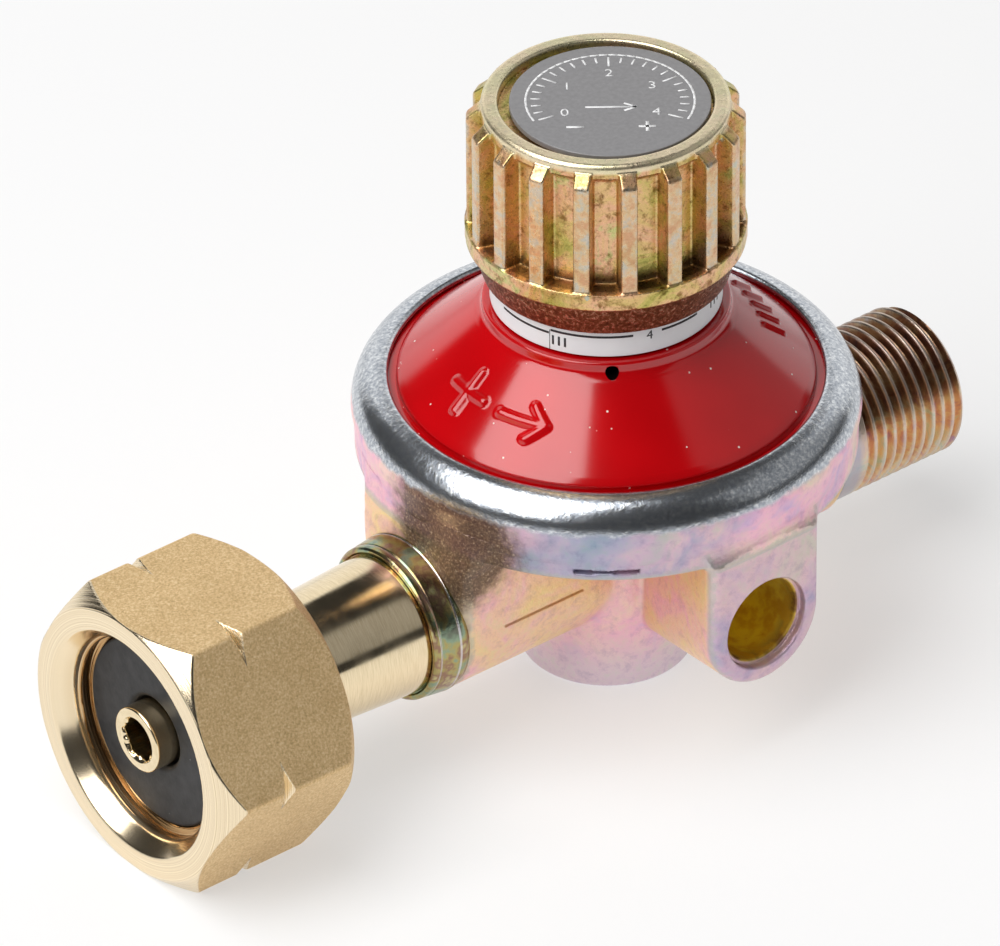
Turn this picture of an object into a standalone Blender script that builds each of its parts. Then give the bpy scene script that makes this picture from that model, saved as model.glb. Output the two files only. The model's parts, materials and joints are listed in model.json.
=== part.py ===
"""Adjustable high-pressure propane regulator: a die-cast body with a red bonnet, a screw-down knob, a brass
inlet nipple with its left-hand union nut, and the spring, diaphragm and poppet valve inside.

Metres, +Z up. +Z is the bonnet's axis and +X the outlet. The origin is the middle of the flat underside of
the central boss, so the part stands level on that boss and on a flat of the union nut."""

import math

import bmesh
import bpy
from mathutils import Matrix, Vector

MM = 0.001
GAP = 0.3  # between pieces that touch
TURN = 2 * math.pi

# Body casting, in mm
PORT_Z = 15.0  # height of the inlet and outlet axis
DRUM_R = 26.66
DRUM_BOTTOM = 25.6
DRUM_STEP_Z = 28.6
DRUM_STEP = 0.35
LIP_TOP = 34.5
LIP_INNER_R = 22.9
LIP_ARC_BOTTOM = 29.8
RECESS_R = 24.4  # where the diaphragm and the bonnet's flange are clamped
LEDGE_Z = 30.2
CHAMBER_R = 20.5
CHAMBER_FLOOR = 27.2
BOSS_R = 9.1
BOSS_ROUND = 0.8
VALVE_BORE_R = 5.65
VALVE_BORE_BOTTOM = 3.2
ARM_END = 25.35
ARM_HALF_WIDTH = 8.77
COLLAR_END = 29.8
COLLAR_TIP_R = 8.54
COLLAR_ROOT_R = 8.9
SOCKET_R = 6.0
SOCKET_END = 19.2
INLET_PASSAGE_R = 2.6
GAUGE_FACE = 26.3
GAUGE_Z = 16.1
GAUGE_HALF_WIDTH = 7.1
GAUGE_PORT_R = 5.2
GAUGE_PORT_STEP = 1.0
GAUGE_INNER_R = 4.7
GAUGE_PORT_DEPTH = 9.5

# Outlet thread, G 3/8: 19 threads to the inch
OUTLET_END = 42.7
OUTLET_R = 8.33
OUTLET_PITCH = 25.4 / 19
OUTLET_DEPTH = 0.856
OUTLET_ROOT = 20.0  # inside the arm
OUTLET_START = 28.6
OUTLET_CHAMFER = 0.8
OUTLET_BORE_R = 5.6
OUTLET_BORE_START = 11.0
OUTLET_RISER_X = 13.4
OUTLET_RISER_R = 2.0

# Diaphragm stack
DIAPHRAGM_R = 24.1
DIAPHRAGM_Z = LEDGE_Z + GAP
DIAPHRAGM_THICK = 1.0
SLIP_RING_THICK = 0.4
SLIP_RING_R = 20.8  # inside
FLANGE_Z = DIAPHRAGM_Z + DIAPHRAGM_THICK + GAP + SLIP_RING_THICK + GAP
LOWER_PLATE_R = 13.0
UPPER_PLATE_R = 15.0
PLATE_THICK = 1.0
STEM_R = 1.6
STEM_PIN_R = 1.0

# Valve, below the diaphragm
SEAT_LIP_Z = 19.6  # the edge that the poppet closes on
SEAT_FOOT = 20.2
SEAT_R = 5.3
SEAT_BORE_R = 1.9
SEAT_HEAD_R = 6.6
SEAT_HEAD = 0.8
SEAL_Z = 25.8
SEAL_SECTION_R = 0.4
SEAL_GROOVE_HALF = 0.9
SEAL_GROOVE_R = 4.25
STEM_FOOT = 19.4
PAD_R = 3.6
PAD_TOP = 19.1
PAD_BOTTOM = 17.6
POPPET_R = 4.6
POPPET_GUIDE_R = 2.0
POPPET_BOTTOM = 9.0
POPPET_SKIRT = 13.2
POPPET_TOP = 18.6
POPPET_SPRING_R = 3.0
POPPET_SPRING_WIRE_R = 0.35
POPPET_SPRING_COILS = 6.5

# Adjusting spring and the button above it
SPRING_R = 7.4
SPRING_WIRE_R = 1.0
SPRING_COILS = 6.5
WASHER_R = 8.4
WASHER_THICK = 0.9
BUTTON_R = 8.8
BUTTON_GUIDE_R = 6.0
BUTTON_THICK = 2.4
BUTTON_DEPTH = 5.5

# Bonnet
FLANGE_TOP = LIP_TOP - 0.6 - GAP
RIM_STEP_R = 21.7
RIM_STEP_TOP = 34.6
CONE_TOP_R = 13.3
CONE_TOP_Z = 42.1
SHOULDER_R = 12.95
SHOULDER_Z = 43.6
NECK_R = 11.6
NECK_SEAT_TOP = 49.2
NECK_THREAD_R = 10.6
NECK_TOP = 59.8
NECK_BORE_R = 9.2
VENT_R = 0.55
VENT_Z = 42.85
VENT_AZIMUTH = -125.8  # degrees from +X, on the inlet side of the gauge boss

# Dial band round the foot of the neck
BAND_R = 12.1
BAND_BOTTOM = SHOULDER_Z + GAP
BAND_TOP = 48.3

# Knob
KNOB_TOP = 67.7
KNOB_RIM_R = 12.9
KNOB_FLOOR_R = 12.3  # floor of the pockets between the lugs
KNOB_LUG_R = 14.4
KNOB_FLANGE_R = 14.57
KNOB_LUGS = 18
KNOB_LUG_WIDTH = 1.7
KNOB_LUG_TOP = 65.7
KNOB_RECESS_R = 11.14
KNOB_RECESS_DEPTH = 1.2
KNOB_ROOF = 62.9  # underside
KNOB_FLANGE_TOP = 53.0
KNOB_FLANGE_BOTTOM = 51.0
SKIRT_TOP_R = 14.0
SKIRT_BOTTOM_R = 12.9
SKIRT_BOTTOM = 47.2
SKIRT_BORE_R = 12.4
KNOB_THREAD_R = 10.9
KNOB_THREAD_BOTTOM = 52.8
KNOB_THREAD_TOP = 56.9
KNOB_RELIEF_R = 11.65
LUG_AZIMUTH = -119.5  # of the first lug, degrees from +X
LABEL_R = 10.4
LABEL_DEPTH = 0.25
LABEL_OFFSET = (0.35, -0.28)  # the disc sits a little to one side of its recess

# Stop ring in the neck, which keeps the knob from coming off
STOP_RING_Z = KNOB_THREAD_TOP + 1.8
STOP_RING_THICK = 0.7
STOP_RING_R = 11.3
STOP_GROOVE_R = 9.95

# Union nut: W 21.8 x 1/14 left hand, 30 mm across flats
NUT_FLATS = 30.0
NUT_FRONT = -63.6
NUT_BACK = -45.6
NUT_CHAMFER = 2.25
NUT_FACE_R = 15.0
NUT_BORE_R = 10.8
NUT_MOUTH_R = 12.7
NUT_MOUTH_DEPTH = 2.5
NUT_SHOULDER = -48.6
NUT_HOLE_R = 7.6

# Inlet nipple, seal and filter
NIPPLE_FLANGE_R = 9.4
NIPPLE_FLANGE_FRONT = -57.4
NIPPLE_FLANGE_BACK = -53.4
NECK_FRONT_R = 6.95
NECK_BACK_R = 7.72
NECK_BACK = -30.1
TIP_R = 3.62
TIP_END = -62.3
TIP_BORE_R = 2.28
NIPPLE_BORE_R = 2.5
NIPPLE_THREAD_R = 5.7
NIPPLE_TAIL = -20.6
SEAL_R = 10.5
SEAL_FRONT = -60.0
FILTER_R = 2.1
FILTER_BACK, FILTER_FRONT = 44.0, 49.0  # distances from the bonnet's axis

COARSE, ROUND, FINE = 16, 32, 48  # facets round a turned piece


def clear_scene():
    for obj in list(bpy.data.objects):
        bpy.data.objects.remove(obj, do_unlink=True)


def material(name, colour, roughness, metallic):
    made = bpy.data.materials.new(name)
    made.use_nodes = True
    shader = made.node_tree.nodes["Principled BSDF"]
    shader.inputs["Base Color"].default_value = (*colour, 1.0)
    shader.inputs["Roughness"].default_value = roughness
    shader.inputs["Metallic"].default_value = metallic
    return made


def add(name, bm, finish=None):
    """One object from a bmesh in millimetres, with outward normals and smooth shading between sharp edges."""
    bmesh.ops.remove_doubles(bm, verts=bm.verts, dist=1e-5)
    bmesh.ops.recalc_face_normals(bm, faces=bm.faces)
    mesh = bpy.data.meshes.new(name)
    bm.to_mesh(mesh)
    bm.free()
    mesh.transform(Matrix.Scale(MM, 4))
    mesh.shade_smooth()
    mesh.set_sharp_from_angle(angle=math.radians(35))
    obj = bpy.data.objects.new(name, mesh)
    bpy.context.scene.collection.objects.link(obj)
    if finish:
        mesh.materials.append(finish)
    return obj


def lathe(outline, steps=ROUND):
    """A closed outline of (radius, height) points, spun about Z."""
    bm = bmesh.new()
    corners = [bm.verts.new((r, 0, z)) for r, z in outline]
    edges = []
    for first, second in zip(corners, corners[1:] + corners[:1]):
        if first.co.x > 1e-9 or second.co.x > 1e-9:
            edges.append(bm.edges.new((first, second)))
    bmesh.ops.spin(
        bm, geom=corners + edges, cent=(0, 0, 0), axis=(0, 0, 1), angle=TURN, steps=steps, use_merge=True
    )
    bmesh.ops.remove_doubles(bm, verts=bm.verts, dist=1e-5)
    loose = [v for v in bm.verts if not v.link_faces]
    bmesh.ops.delete(bm, geom=loose, context="VERTS")
    return bm


def turned(name, outline, finish=None, steps=ROUND, along=None, height=PORT_Z, phase=0.0):
    """A turned piece about Z, or laid down at a height so that its outline runs along the given direction.

    The phase, in degrees, keeps its facets out of line with those of a piece that it joins or cuts."""
    bm = lathe(outline, steps)
    bmesh.ops.rotate(bm, verts=bm.verts, matrix=Matrix.Rotation(math.radians(phase), 3, "Z"))
    obj = add(name, bm, finish)
    if along:
        obj.rotation_euler = Vector(along).to_track_quat("Z", "Y").to_euler()
        obj.location.z = height * MM
    return obj


def arc(centre, radii, start, end, steps):
    """Points of an ellipse's arc in (radius, height), angles in degrees from the radial direction."""
    points = []
    for i in range(steps + 1):
        angle = math.radians(start + (end - start) * i / steps)
        points.append((centre[0] + radii[0] * math.cos(angle), centre[1] + radii[1] * math.sin(angle)))
    return points


def ring(inner, outer, bottom, top):
    return [(inner, bottom), (outer, bottom), (outer, top), (inner, top)]


def rod(radius, bottom, top):
    return [(0, bottom), (radius, bottom), (radius, top), (0, top)]


def helper(obj):
    obj.hide_render = True
    obj.display_type = "WIRE"
    return obj


def combine(obj, other, operation):
    helper(other)
    modifier = obj.modifiers.new(f"{operation.title()} {other.name}", "BOOLEAN")
    modifier.operation = operation
    modifier.solver = "EXACT"
    modifier.object = other


def join(obj, other):
    combine(obj, other, "UNION")


def cut(obj, other):
    combine(obj, other, "DIFFERENCE")


def prism(name, outline, direction, start, end):
    """A flat outline of (across, height) points, pushed along a horizontal direction."""
    forward = Vector((*direction, 0))
    across = Vector((-direction[1], direction[0], 0))
    bm = bmesh.new()
    near = [bm.verts.new(forward * start + across * a + Vector((0, 0, z))) for a, z in outline]
    face = bm.faces.new(near)
    pushed = bmesh.ops.extrude_face_region(bm, geom=[face])
    moved = [item for item in pushed["geom"] if isinstance(item, bmesh.types.BMVert)]
    bmesh.ops.translate(bm, verts=moved, vec=forward * (end - start))
    return add(name, bm)


def arm_outline(half_width, axis_z, top, steps=10):
    """Upright sides and a half-round underside about the port's axis."""
    under = arc((0, axis_z), (half_width, half_width), 180, 360, steps)
    return [(half_width, top), (-half_width, top)] + under


def threaded_spigot():
    """The outlet's plain root and male thread: a helical surface whose depth runs out at both ends."""
    around, per_pitch = 16, 4
    rows = math.ceil((OUTLET_END - OUTLET_START) / OUTLET_PITCH * per_pitch)
    pitches = [OUTLET_START + (OUTLET_END - OUTLET_START) * row / rows for row in range(rows + 1)]
    bm = bmesh.new()
    loops = []
    for x in [OUTLET_ROOT] + pitches:
        crest = OUTLET_R - max(0.0, OUTLET_CHAMFER - (OUTLET_END - x))
        run_out = min(1.0, max(0.0, (x - OUTLET_START) / OUTLET_PITCH))
        loop = []
        for step in range(around):
            turn = step / around
            phase = (x / OUTLET_PITCH + turn) % 1.0
            groove = max(0.0, 1.0 - abs(phase - 0.5) * 2.6)
            r = min(crest, OUTLET_R - OUTLET_DEPTH * groove * run_out)
            loop.append(bm.verts.new((x, r * math.cos(turn * TURN), PORT_Z + r * math.sin(turn * TURN))))
        loops.append(loop)
    for near, far in zip(loops, loops[1:]):
        for step in range(around):
            after = (step + 1) % around
            bm.faces.new((near[step], near[after], far[after], far[step]))
    bm.faces.new(loops[0])
    bm.faces.new(loops[-1])
    return add("outlet_thread_form", bm)


def body_casting(finish):
    lip = arc(
        (LIP_INNER_R, LIP_ARC_BOTTOM), (DRUM_R - LIP_INNER_R, LIP_TOP - LIP_ARC_BOTTOM), 0, 90, 5
    )
    stepped = DRUM_R - DRUM_STEP
    outline = (
        [(0, DRUM_BOTTOM), (stepped - 0.5, DRUM_BOTTOM), (stepped, DRUM_BOTTOM + 0.5)]
        + [(stepped, DRUM_STEP_Z), (DRUM_R, DRUM_STEP_Z + 0.2)]
        + lip
        + [(LIP_INNER_R, LIP_TOP - 0.6), (RECESS_R, LIP_TOP - 0.6), (RECESS_R, LEDGE_Z)]
        + [(CHAMBER_R, LEDGE_Z), (CHAMBER_R, CHAMBER_FLOOR), (0, CHAMBER_FLOOR)]
    )
    body = turned("body_casting", outline, finish, FINE)

    boss = turned(
        "boss_form",
        [(0, 0), (BOSS_R - BOSS_ROUND, 0), (BOSS_R - 0.35 * BOSS_ROUND, 0.35 * BOSS_ROUND)]
        + [(BOSS_R, BOSS_ROUND), (BOSS_R, CHAMBER_FLOOR - 0.5), (0, CHAMBER_FLOOR - 0.5)],
    )
    join(body, boss)
    top = DRUM_BOTTOM + 0.9
    ports = arm_outline(ARM_HALF_WIDTH, PORT_Z, top)
    join(body, prism("port_arms_form", ports, (1, 0), -ARM_END, ARM_END))
    gauge = arm_outline(GAUGE_HALF_WIDTH, GAUGE_Z, top + 0.3)
    join(body, prism("gauge_arm_form", gauge, (0, -1), 1.3, GAUGE_FACE))
    collar = [(0, 20), (COLLAR_ROOT_R, 20), (COLLAR_ROOT_R, ARM_END), (COLLAR_TIP_R, COLLAR_END)]
    join(body, turned("inlet_collar_form", collar + [(0, COLLAR_END)], along=(-1, 0, 0), phase=2))
    join(body, threaded_spigot())

    bore = rod(VALVE_BORE_R, VALVE_BORE_BOTTOM, CHAMBER_FLOOR + 1)
    cut(body, turned("valve_bore_cutter", bore, phase=3))
    socket = rod(SOCKET_R, SOCKET_END, COLLAR_END + 1)
    cut(body, turned("socket_cutter", socket, along=(-1, 0, 0), phase=1))
    passage = rod(INLET_PASSAGE_R, 1, SOCKET_END + 1)
    cut(body, turned("inlet_passage_cutter", passage, steps=COARSE, along=(-1, 0, 0), phase=4))
    outlet = rod(OUTLET_BORE_R, OUTLET_BORE_START, OUTLET_END + 1)
    cut(body, turned("outlet_bore_cutter", outlet, along=(1, 0, 0), phase=2))
    riser = turned("riser_cutter", rod(OUTLET_RISER_R, PORT_Z, CHAMBER_FLOOR + 1), steps=COARSE, phase=5)
    riser.location.x = OUTLET_RISER_X * MM
    cut(body, riser)
    blind = GAUGE_FACE - GAUGE_PORT_DEPTH
    shelf = GAUGE_FACE - GAUGE_PORT_STEP
    port = arc((0, blind + 2), (GAUGE_INNER_R, 2), 270, 360, 4)
    port += [(GAUGE_INNER_R, shelf), (GAUGE_PORT_R, shelf), (GAUGE_PORT_R, GAUGE_FACE + 1)]
    port += [(0, GAUGE_FACE + 1)]
    cut(body, turned("gauge_port_cutter", port, along=(0, -1, 0), height=GAUGE_Z, phase=3))
    return body


def bonnet(finish):
    outline = [
        (SLIP_RING_R, FLANGE_Z),
        (RECESS_R - GAP, FLANGE_Z),
        (RECESS_R - GAP, FLANGE_TOP),
        (RIM_STEP_R, FLANGE_TOP),
        (RIM_STEP_R, RIM_STEP_TOP - 0.3),
        (RIM_STEP_R - 0.3, RIM_STEP_TOP),
        (CONE_TOP_R, CONE_TOP_Z),
        (SHOULDER_R, CONE_TOP_Z + 0.2),
        (SHOULDER_R, SHOULDER_Z - 0.3),
        (SHOULDER_R - 0.3, SHOULDER_Z),
        (NECK_R, SHOULDER_Z),
        (NECK_R, NECK_SEAT_TOP),
        (NECK_THREAD_R, NECK_SEAT_TOP),
        (NECK_THREAD_R, STOP_RING_Z - GAP),
        (STOP_GROOVE_R, STOP_RING_Z - GAP),
        (STOP_GROOVE_R, STOP_RING_Z + STOP_RING_THICK + GAP),
        (NECK_THREAD_R, STOP_RING_Z + STOP_RING_THICK + GAP),
        (NECK_THREAD_R - 0.3, NECK_TOP),
        (NECK_BORE_R, NECK_TOP),
        (NECK_BORE_R, CONE_TOP_Z - 0.5),
        (12.2, CONE_TOP_Z - 1.9),
        (19.6, RIM_STEP_TOP - 1.2),
    ]
    piece = turned("bonnet", outline, finish)
    vent_way = (math.cos(math.radians(VENT_AZIMUTH)), math.sin(math.radians(VENT_AZIMUTH)), 0)
    vent = rod(VENT_R, NECK_BORE_R - 1, SHOULDER_R + 2)
    cut(piece, turned("vent_cutter", vent, steps=12, along=vent_way, height=VENT_Z))
    return piece


def knob_lug():
    """One lug, pointing along +X, with its top sloping down from the rim."""
    half = KNOB_LUG_WIDTH / 2
    side = [
        (KNOB_FLOOR_R - 0.7, KNOB_FLANGE_TOP - 0.5),
        (KNOB_LUG_R, KNOB_FLANGE_TOP - 0.5),
        (KNOB_LUG_R, KNOB_LUG_TOP),
        (KNOB_RIM_R - 0.2, KNOB_TOP - 0.5),
        (KNOB_FLOOR_R - 0.7, KNOB_TOP - 0.5),
    ]
    bm = bmesh.new()
    face = bm.faces.new([bm.verts.new((r, -half, z)) for r, z in side])
    pushed = bmesh.ops.extrude_face_region(bm, geom=[face])
    moved = [item for item in pushed["geom"] if isinstance(item, bmesh.types.BMVert)]
    bmesh.ops.translate(bm, verts=moved, vec=(0, 2 * half, 0))
    return bm


def knob(finish):
    outline = [
        (SKIRT_BORE_R, SKIRT_BOTTOM),
        (SKIRT_BOTTOM_R, SKIRT_BOTTOM),
        (SKIRT_TOP_R, KNOB_FLANGE_BOTTOM),
        (KNOB_FLANGE_R - 0.3, KNOB_FLANGE_BOTTOM),
        (KNOB_FLANGE_R, KNOB_FLANGE_BOTTOM + 0.3),
        (KNOB_FLANGE_R, KNOB_FLANGE_TOP),
        (KNOB_FLOOR_R, KNOB_FLANGE_TOP),
        (KNOB_FLOOR_R, KNOB_TOP - 1.6),
        (KNOB_RIM_R, KNOB_TOP - 1.1),
        (KNOB_RIM_R, KNOB_TOP - 0.5),
        (KNOB_RIM_R - 0.5, KNOB_TOP),
        (KNOB_RECESS_R, KNOB_TOP),
        (KNOB_RECESS_R, KNOB_TOP - KNOB_RECESS_DEPTH),
        (0, KNOB_TOP - KNOB_RECESS_DEPTH),
        (0, KNOB_ROOF),
        (KNOB_RELIEF_R - 0.6, KNOB_ROOF),
        (KNOB_RELIEF_R, KNOB_ROOF - 0.6),
        (KNOB_RELIEF_R, KNOB_THREAD_TOP),
        (KNOB_THREAD_R, KNOB_THREAD_TOP),
        (KNOB_THREAD_R, KNOB_THREAD_BOTTOM),
        (SKIRT_BORE_R, KNOB_THREAD_BOTTOM),
    ]
    piece = turned("knob", outline, finish, 36)
    lugs = bmesh.new()
    for index in range(KNOB_LUGS):
        lug = knob_lug()
        angle = math.radians(LUG_AZIMUTH) + TURN * index / KNOB_LUGS
        bmesh.ops.transform(lug, matrix=Matrix.Rotation(angle, 4, "Z"), verts=lug.verts)
        copy = bpy.data.meshes.new("lug")
        lug.to_mesh(copy)
        lugs.from_mesh(copy)
        bpy.data.meshes.remove(copy)
        lug.free()
    join(piece, add("knob_lugs_form", lugs))
    return piece


def helical_spring(name, mean_r, wire_r, bottom, top, coils, finish, per_turn=12):
    """Closed flat ends of three quarters of a turn, and an even pitch between them."""
    curve = bpy.data.curves.new(name, "CURVE")
    curve.dimensions = "3D"
    curve.bevel_depth = wire_r * MM
    curve.bevel_resolution = 1
    curve.use_fill_caps = True
    count = round(coils * per_turn)
    spline = curve.splines.new("POLY")
    spline.points.add(count)
    low, high = bottom + wire_r, top - wire_r
    dead = 0.75
    wrap = 2 * wire_r * 1.25
    for index in range(count + 1):
        turns = index / per_turn
        if turns < dead:
            z = low + wrap * turns
        elif turns > coils - dead:
            z = high - wrap * (coils - turns)
        else:
            rise = (high - low - 2 * wrap * dead) / (coils - 2 * dead)
            z = low + wrap * dead + rise * (turns - dead)
        angle = TURN * turns
        point = Vector((mean_r * math.cos(angle), mean_r * math.sin(angle), z)) * MM
        spline.points[index].co = (*point, 1)
    obj = bpy.data.objects.new(name, curve)
    curve.materials.append(finish)
    bpy.context.scene.collection.objects.link(obj)
    return obj


def union_nut(finish):
    """A hexagon with flats above and below, its corners turned off at both ends, bored and shouldered."""
    corner_r = NUT_FLATS / math.sqrt(3)
    bm = bmesh.new()
    corners = []
    for step in range(6):
        angle = TURN * step / 6
        corner = (NUT_FRONT, corner_r * math.cos(angle), PORT_Z + corner_r * math.sin(angle))
        corners.append(bm.verts.new(corner))
    face = bm.faces.new(corners)
    pushed = bmesh.ops.extrude_face_region(bm, geom=[face])
    moved = [item for item in pushed["geom"] if isinstance(item, bmesh.types.BMVert)]
    bmesh.ops.translate(bm, verts=moved, vec=(NUT_BACK - NUT_FRONT, 0, 0))
    nut = add("union_nut", bm, finish)
    front, back = -NUT_FRONT, -NUT_BACK
    reach = corner_r + 1
    slope = reach - NUT_FACE_R
    barrel = [(0, back), (NUT_FACE_R, back), (reach, back + slope), (reach, front - slope)]
    barrel += [(NUT_FACE_R, front), (0, front)]
    combine(nut, turned("nut_corner_form", barrel, along=(-1, 0, 0), steps=FINE), "INTERSECT")
    shoulder = -NUT_SHOULDER
    bore = [(0, back - 1), (NUT_HOLE_R, back - 1), (NUT_HOLE_R, shoulder), (NUT_BORE_R, shoulder)]
    bore += [(NUT_BORE_R, front - NUT_MOUTH_DEPTH), (NUT_MOUTH_R, front)]
    bore += [(NUT_MOUTH_R, front + 1), (0, front + 1)]
    cut(nut, turned("nut_bore_cutter", bore, along=(-1, 0, 0)))
    return nut


def inlet_nipple(finish):
    tail, back = -NIPPLE_TAIL, -NECK_BACK
    outline = [
        (NIPPLE_BORE_R, tail),
        (NIPPLE_THREAD_R - 0.5, tail),
        (NIPPLE_THREAD_R, tail + 0.5),
        (NIPPLE_THREAD_R, back),
        (NECK_BACK_R, back),
        (NECK_FRONT_R, -NUT_BACK),
        (NECK_FRONT_R, -NIPPLE_FLANGE_BACK),
        (NIPPLE_FLANGE_R, -NIPPLE_FLANGE_BACK),
        (NIPPLE_FLANGE_R, -NIPPLE_FLANGE_FRONT),
        (TIP_R, -NIPPLE_FLANGE_FRONT),
        (TIP_R, -TIP_END - 0.2),
        (TIP_R - 0.2, -TIP_END),
        (TIP_BORE_R, -TIP_END),
        (TIP_BORE_R, -TIP_END - 4.0),
        (NIPPLE_BORE_R, -TIP_END - 4.0),
    ]
    return turned("inlet_nipple", outline, finish, along=(-1, 0, 0))


def spring_button_outline(top):
    """A flat cap with a spigot that guides the spring's inside."""
    return [
        (0, top - BUTTON_DEPTH),
        (BUTTON_GUIDE_R - 0.8, top - BUTTON_DEPTH),
        (BUTTON_GUIDE_R, top - BUTTON_DEPTH + 0.8),
        (BUTTON_GUIDE_R, top - BUTTON_THICK),
        (BUTTON_R, top - BUTTON_THICK),
        (BUTTON_R, top),
        (0, top),
    ]


def upper_plate_outline(hole, bottom):
    """A disc with a raised rim."""
    seat = bottom + PLATE_THICK
    return [
        (hole, bottom),
        (UPPER_PLATE_R, bottom),
        (UPPER_PLATE_R, seat + 1.0),
        (UPPER_PLATE_R - 0.8, seat + 1.0),
        (UPPER_PLATE_R - 0.8, seat),
        (hole, seat),
    ]


def stem_outline(collar_top, head_bottom):
    """A pin that opens the poppet, a collar under the lower plate, and a riveted head over the upper one."""
    return [
        (0, STEM_FOOT),
        (STEM_PIN_R, STEM_FOOT),
        (STEM_PIN_R, collar_top - 0.6),
        (3.4, collar_top - 0.6),
        (3.4, collar_top),
        (STEM_R, collar_top),
        (STEM_R, head_bottom),
        (3.2, head_bottom),
        (2.4, head_bottom + 1.0),
        (0, head_bottom + 1.2),
    ]


def valve_seat_outline():
    """A bush with a thin lip below, a groove for its seal and a flanged head on the chamber's floor."""
    head = CHAMBER_FLOOR + GAP
    return [
        (SEAT_BORE_R, SEAT_LIP_Z),
        (SEAT_BORE_R + 0.7, SEAT_LIP_Z),
        (SEAT_BORE_R + 1.1, SEAT_FOOT),
        (SEAT_R, SEAT_FOOT),
        (SEAT_R, SEAL_Z - SEAL_GROOVE_HALF),
        (SEAL_GROOVE_R, SEAL_Z - SEAL_GROOVE_HALF),
        (SEAL_GROOVE_R, SEAL_Z + SEAL_GROOVE_HALF),
        (SEAT_R, SEAL_Z + SEAL_GROOVE_HALF),
        (SEAT_R, head),
        (SEAT_HEAD_R, head),
        (SEAT_HEAD_R, head + SEAT_HEAD - 0.5),
        (SEAT_BORE_R + 2.0, head + SEAT_HEAD - 0.5),
        (SEAT_BORE_R + 2.0, head + SEAT_HEAD - 1.6),
        (SEAT_BORE_R, head + SEAT_HEAD - 1.6),
    ]


def poppet_outline():
    """A guide pin inside the spring, a shoulder that the spring pushes on, and a cup that holds the pad."""
    return [
        (0, POPPET_BOTTOM),
        (POPPET_GUIDE_R, POPPET_BOTTOM),
        (POPPET_GUIDE_R, POPPET_SKIRT),
        (POPPET_R, POPPET_SKIRT),
        (POPPET_R, POPPET_TOP),
        (PAD_R + GAP, POPPET_TOP),
        (PAD_R + GAP, PAD_BOTTOM - GAP),
        (0, PAD_BOTTOM - GAP),
    ]


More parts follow.
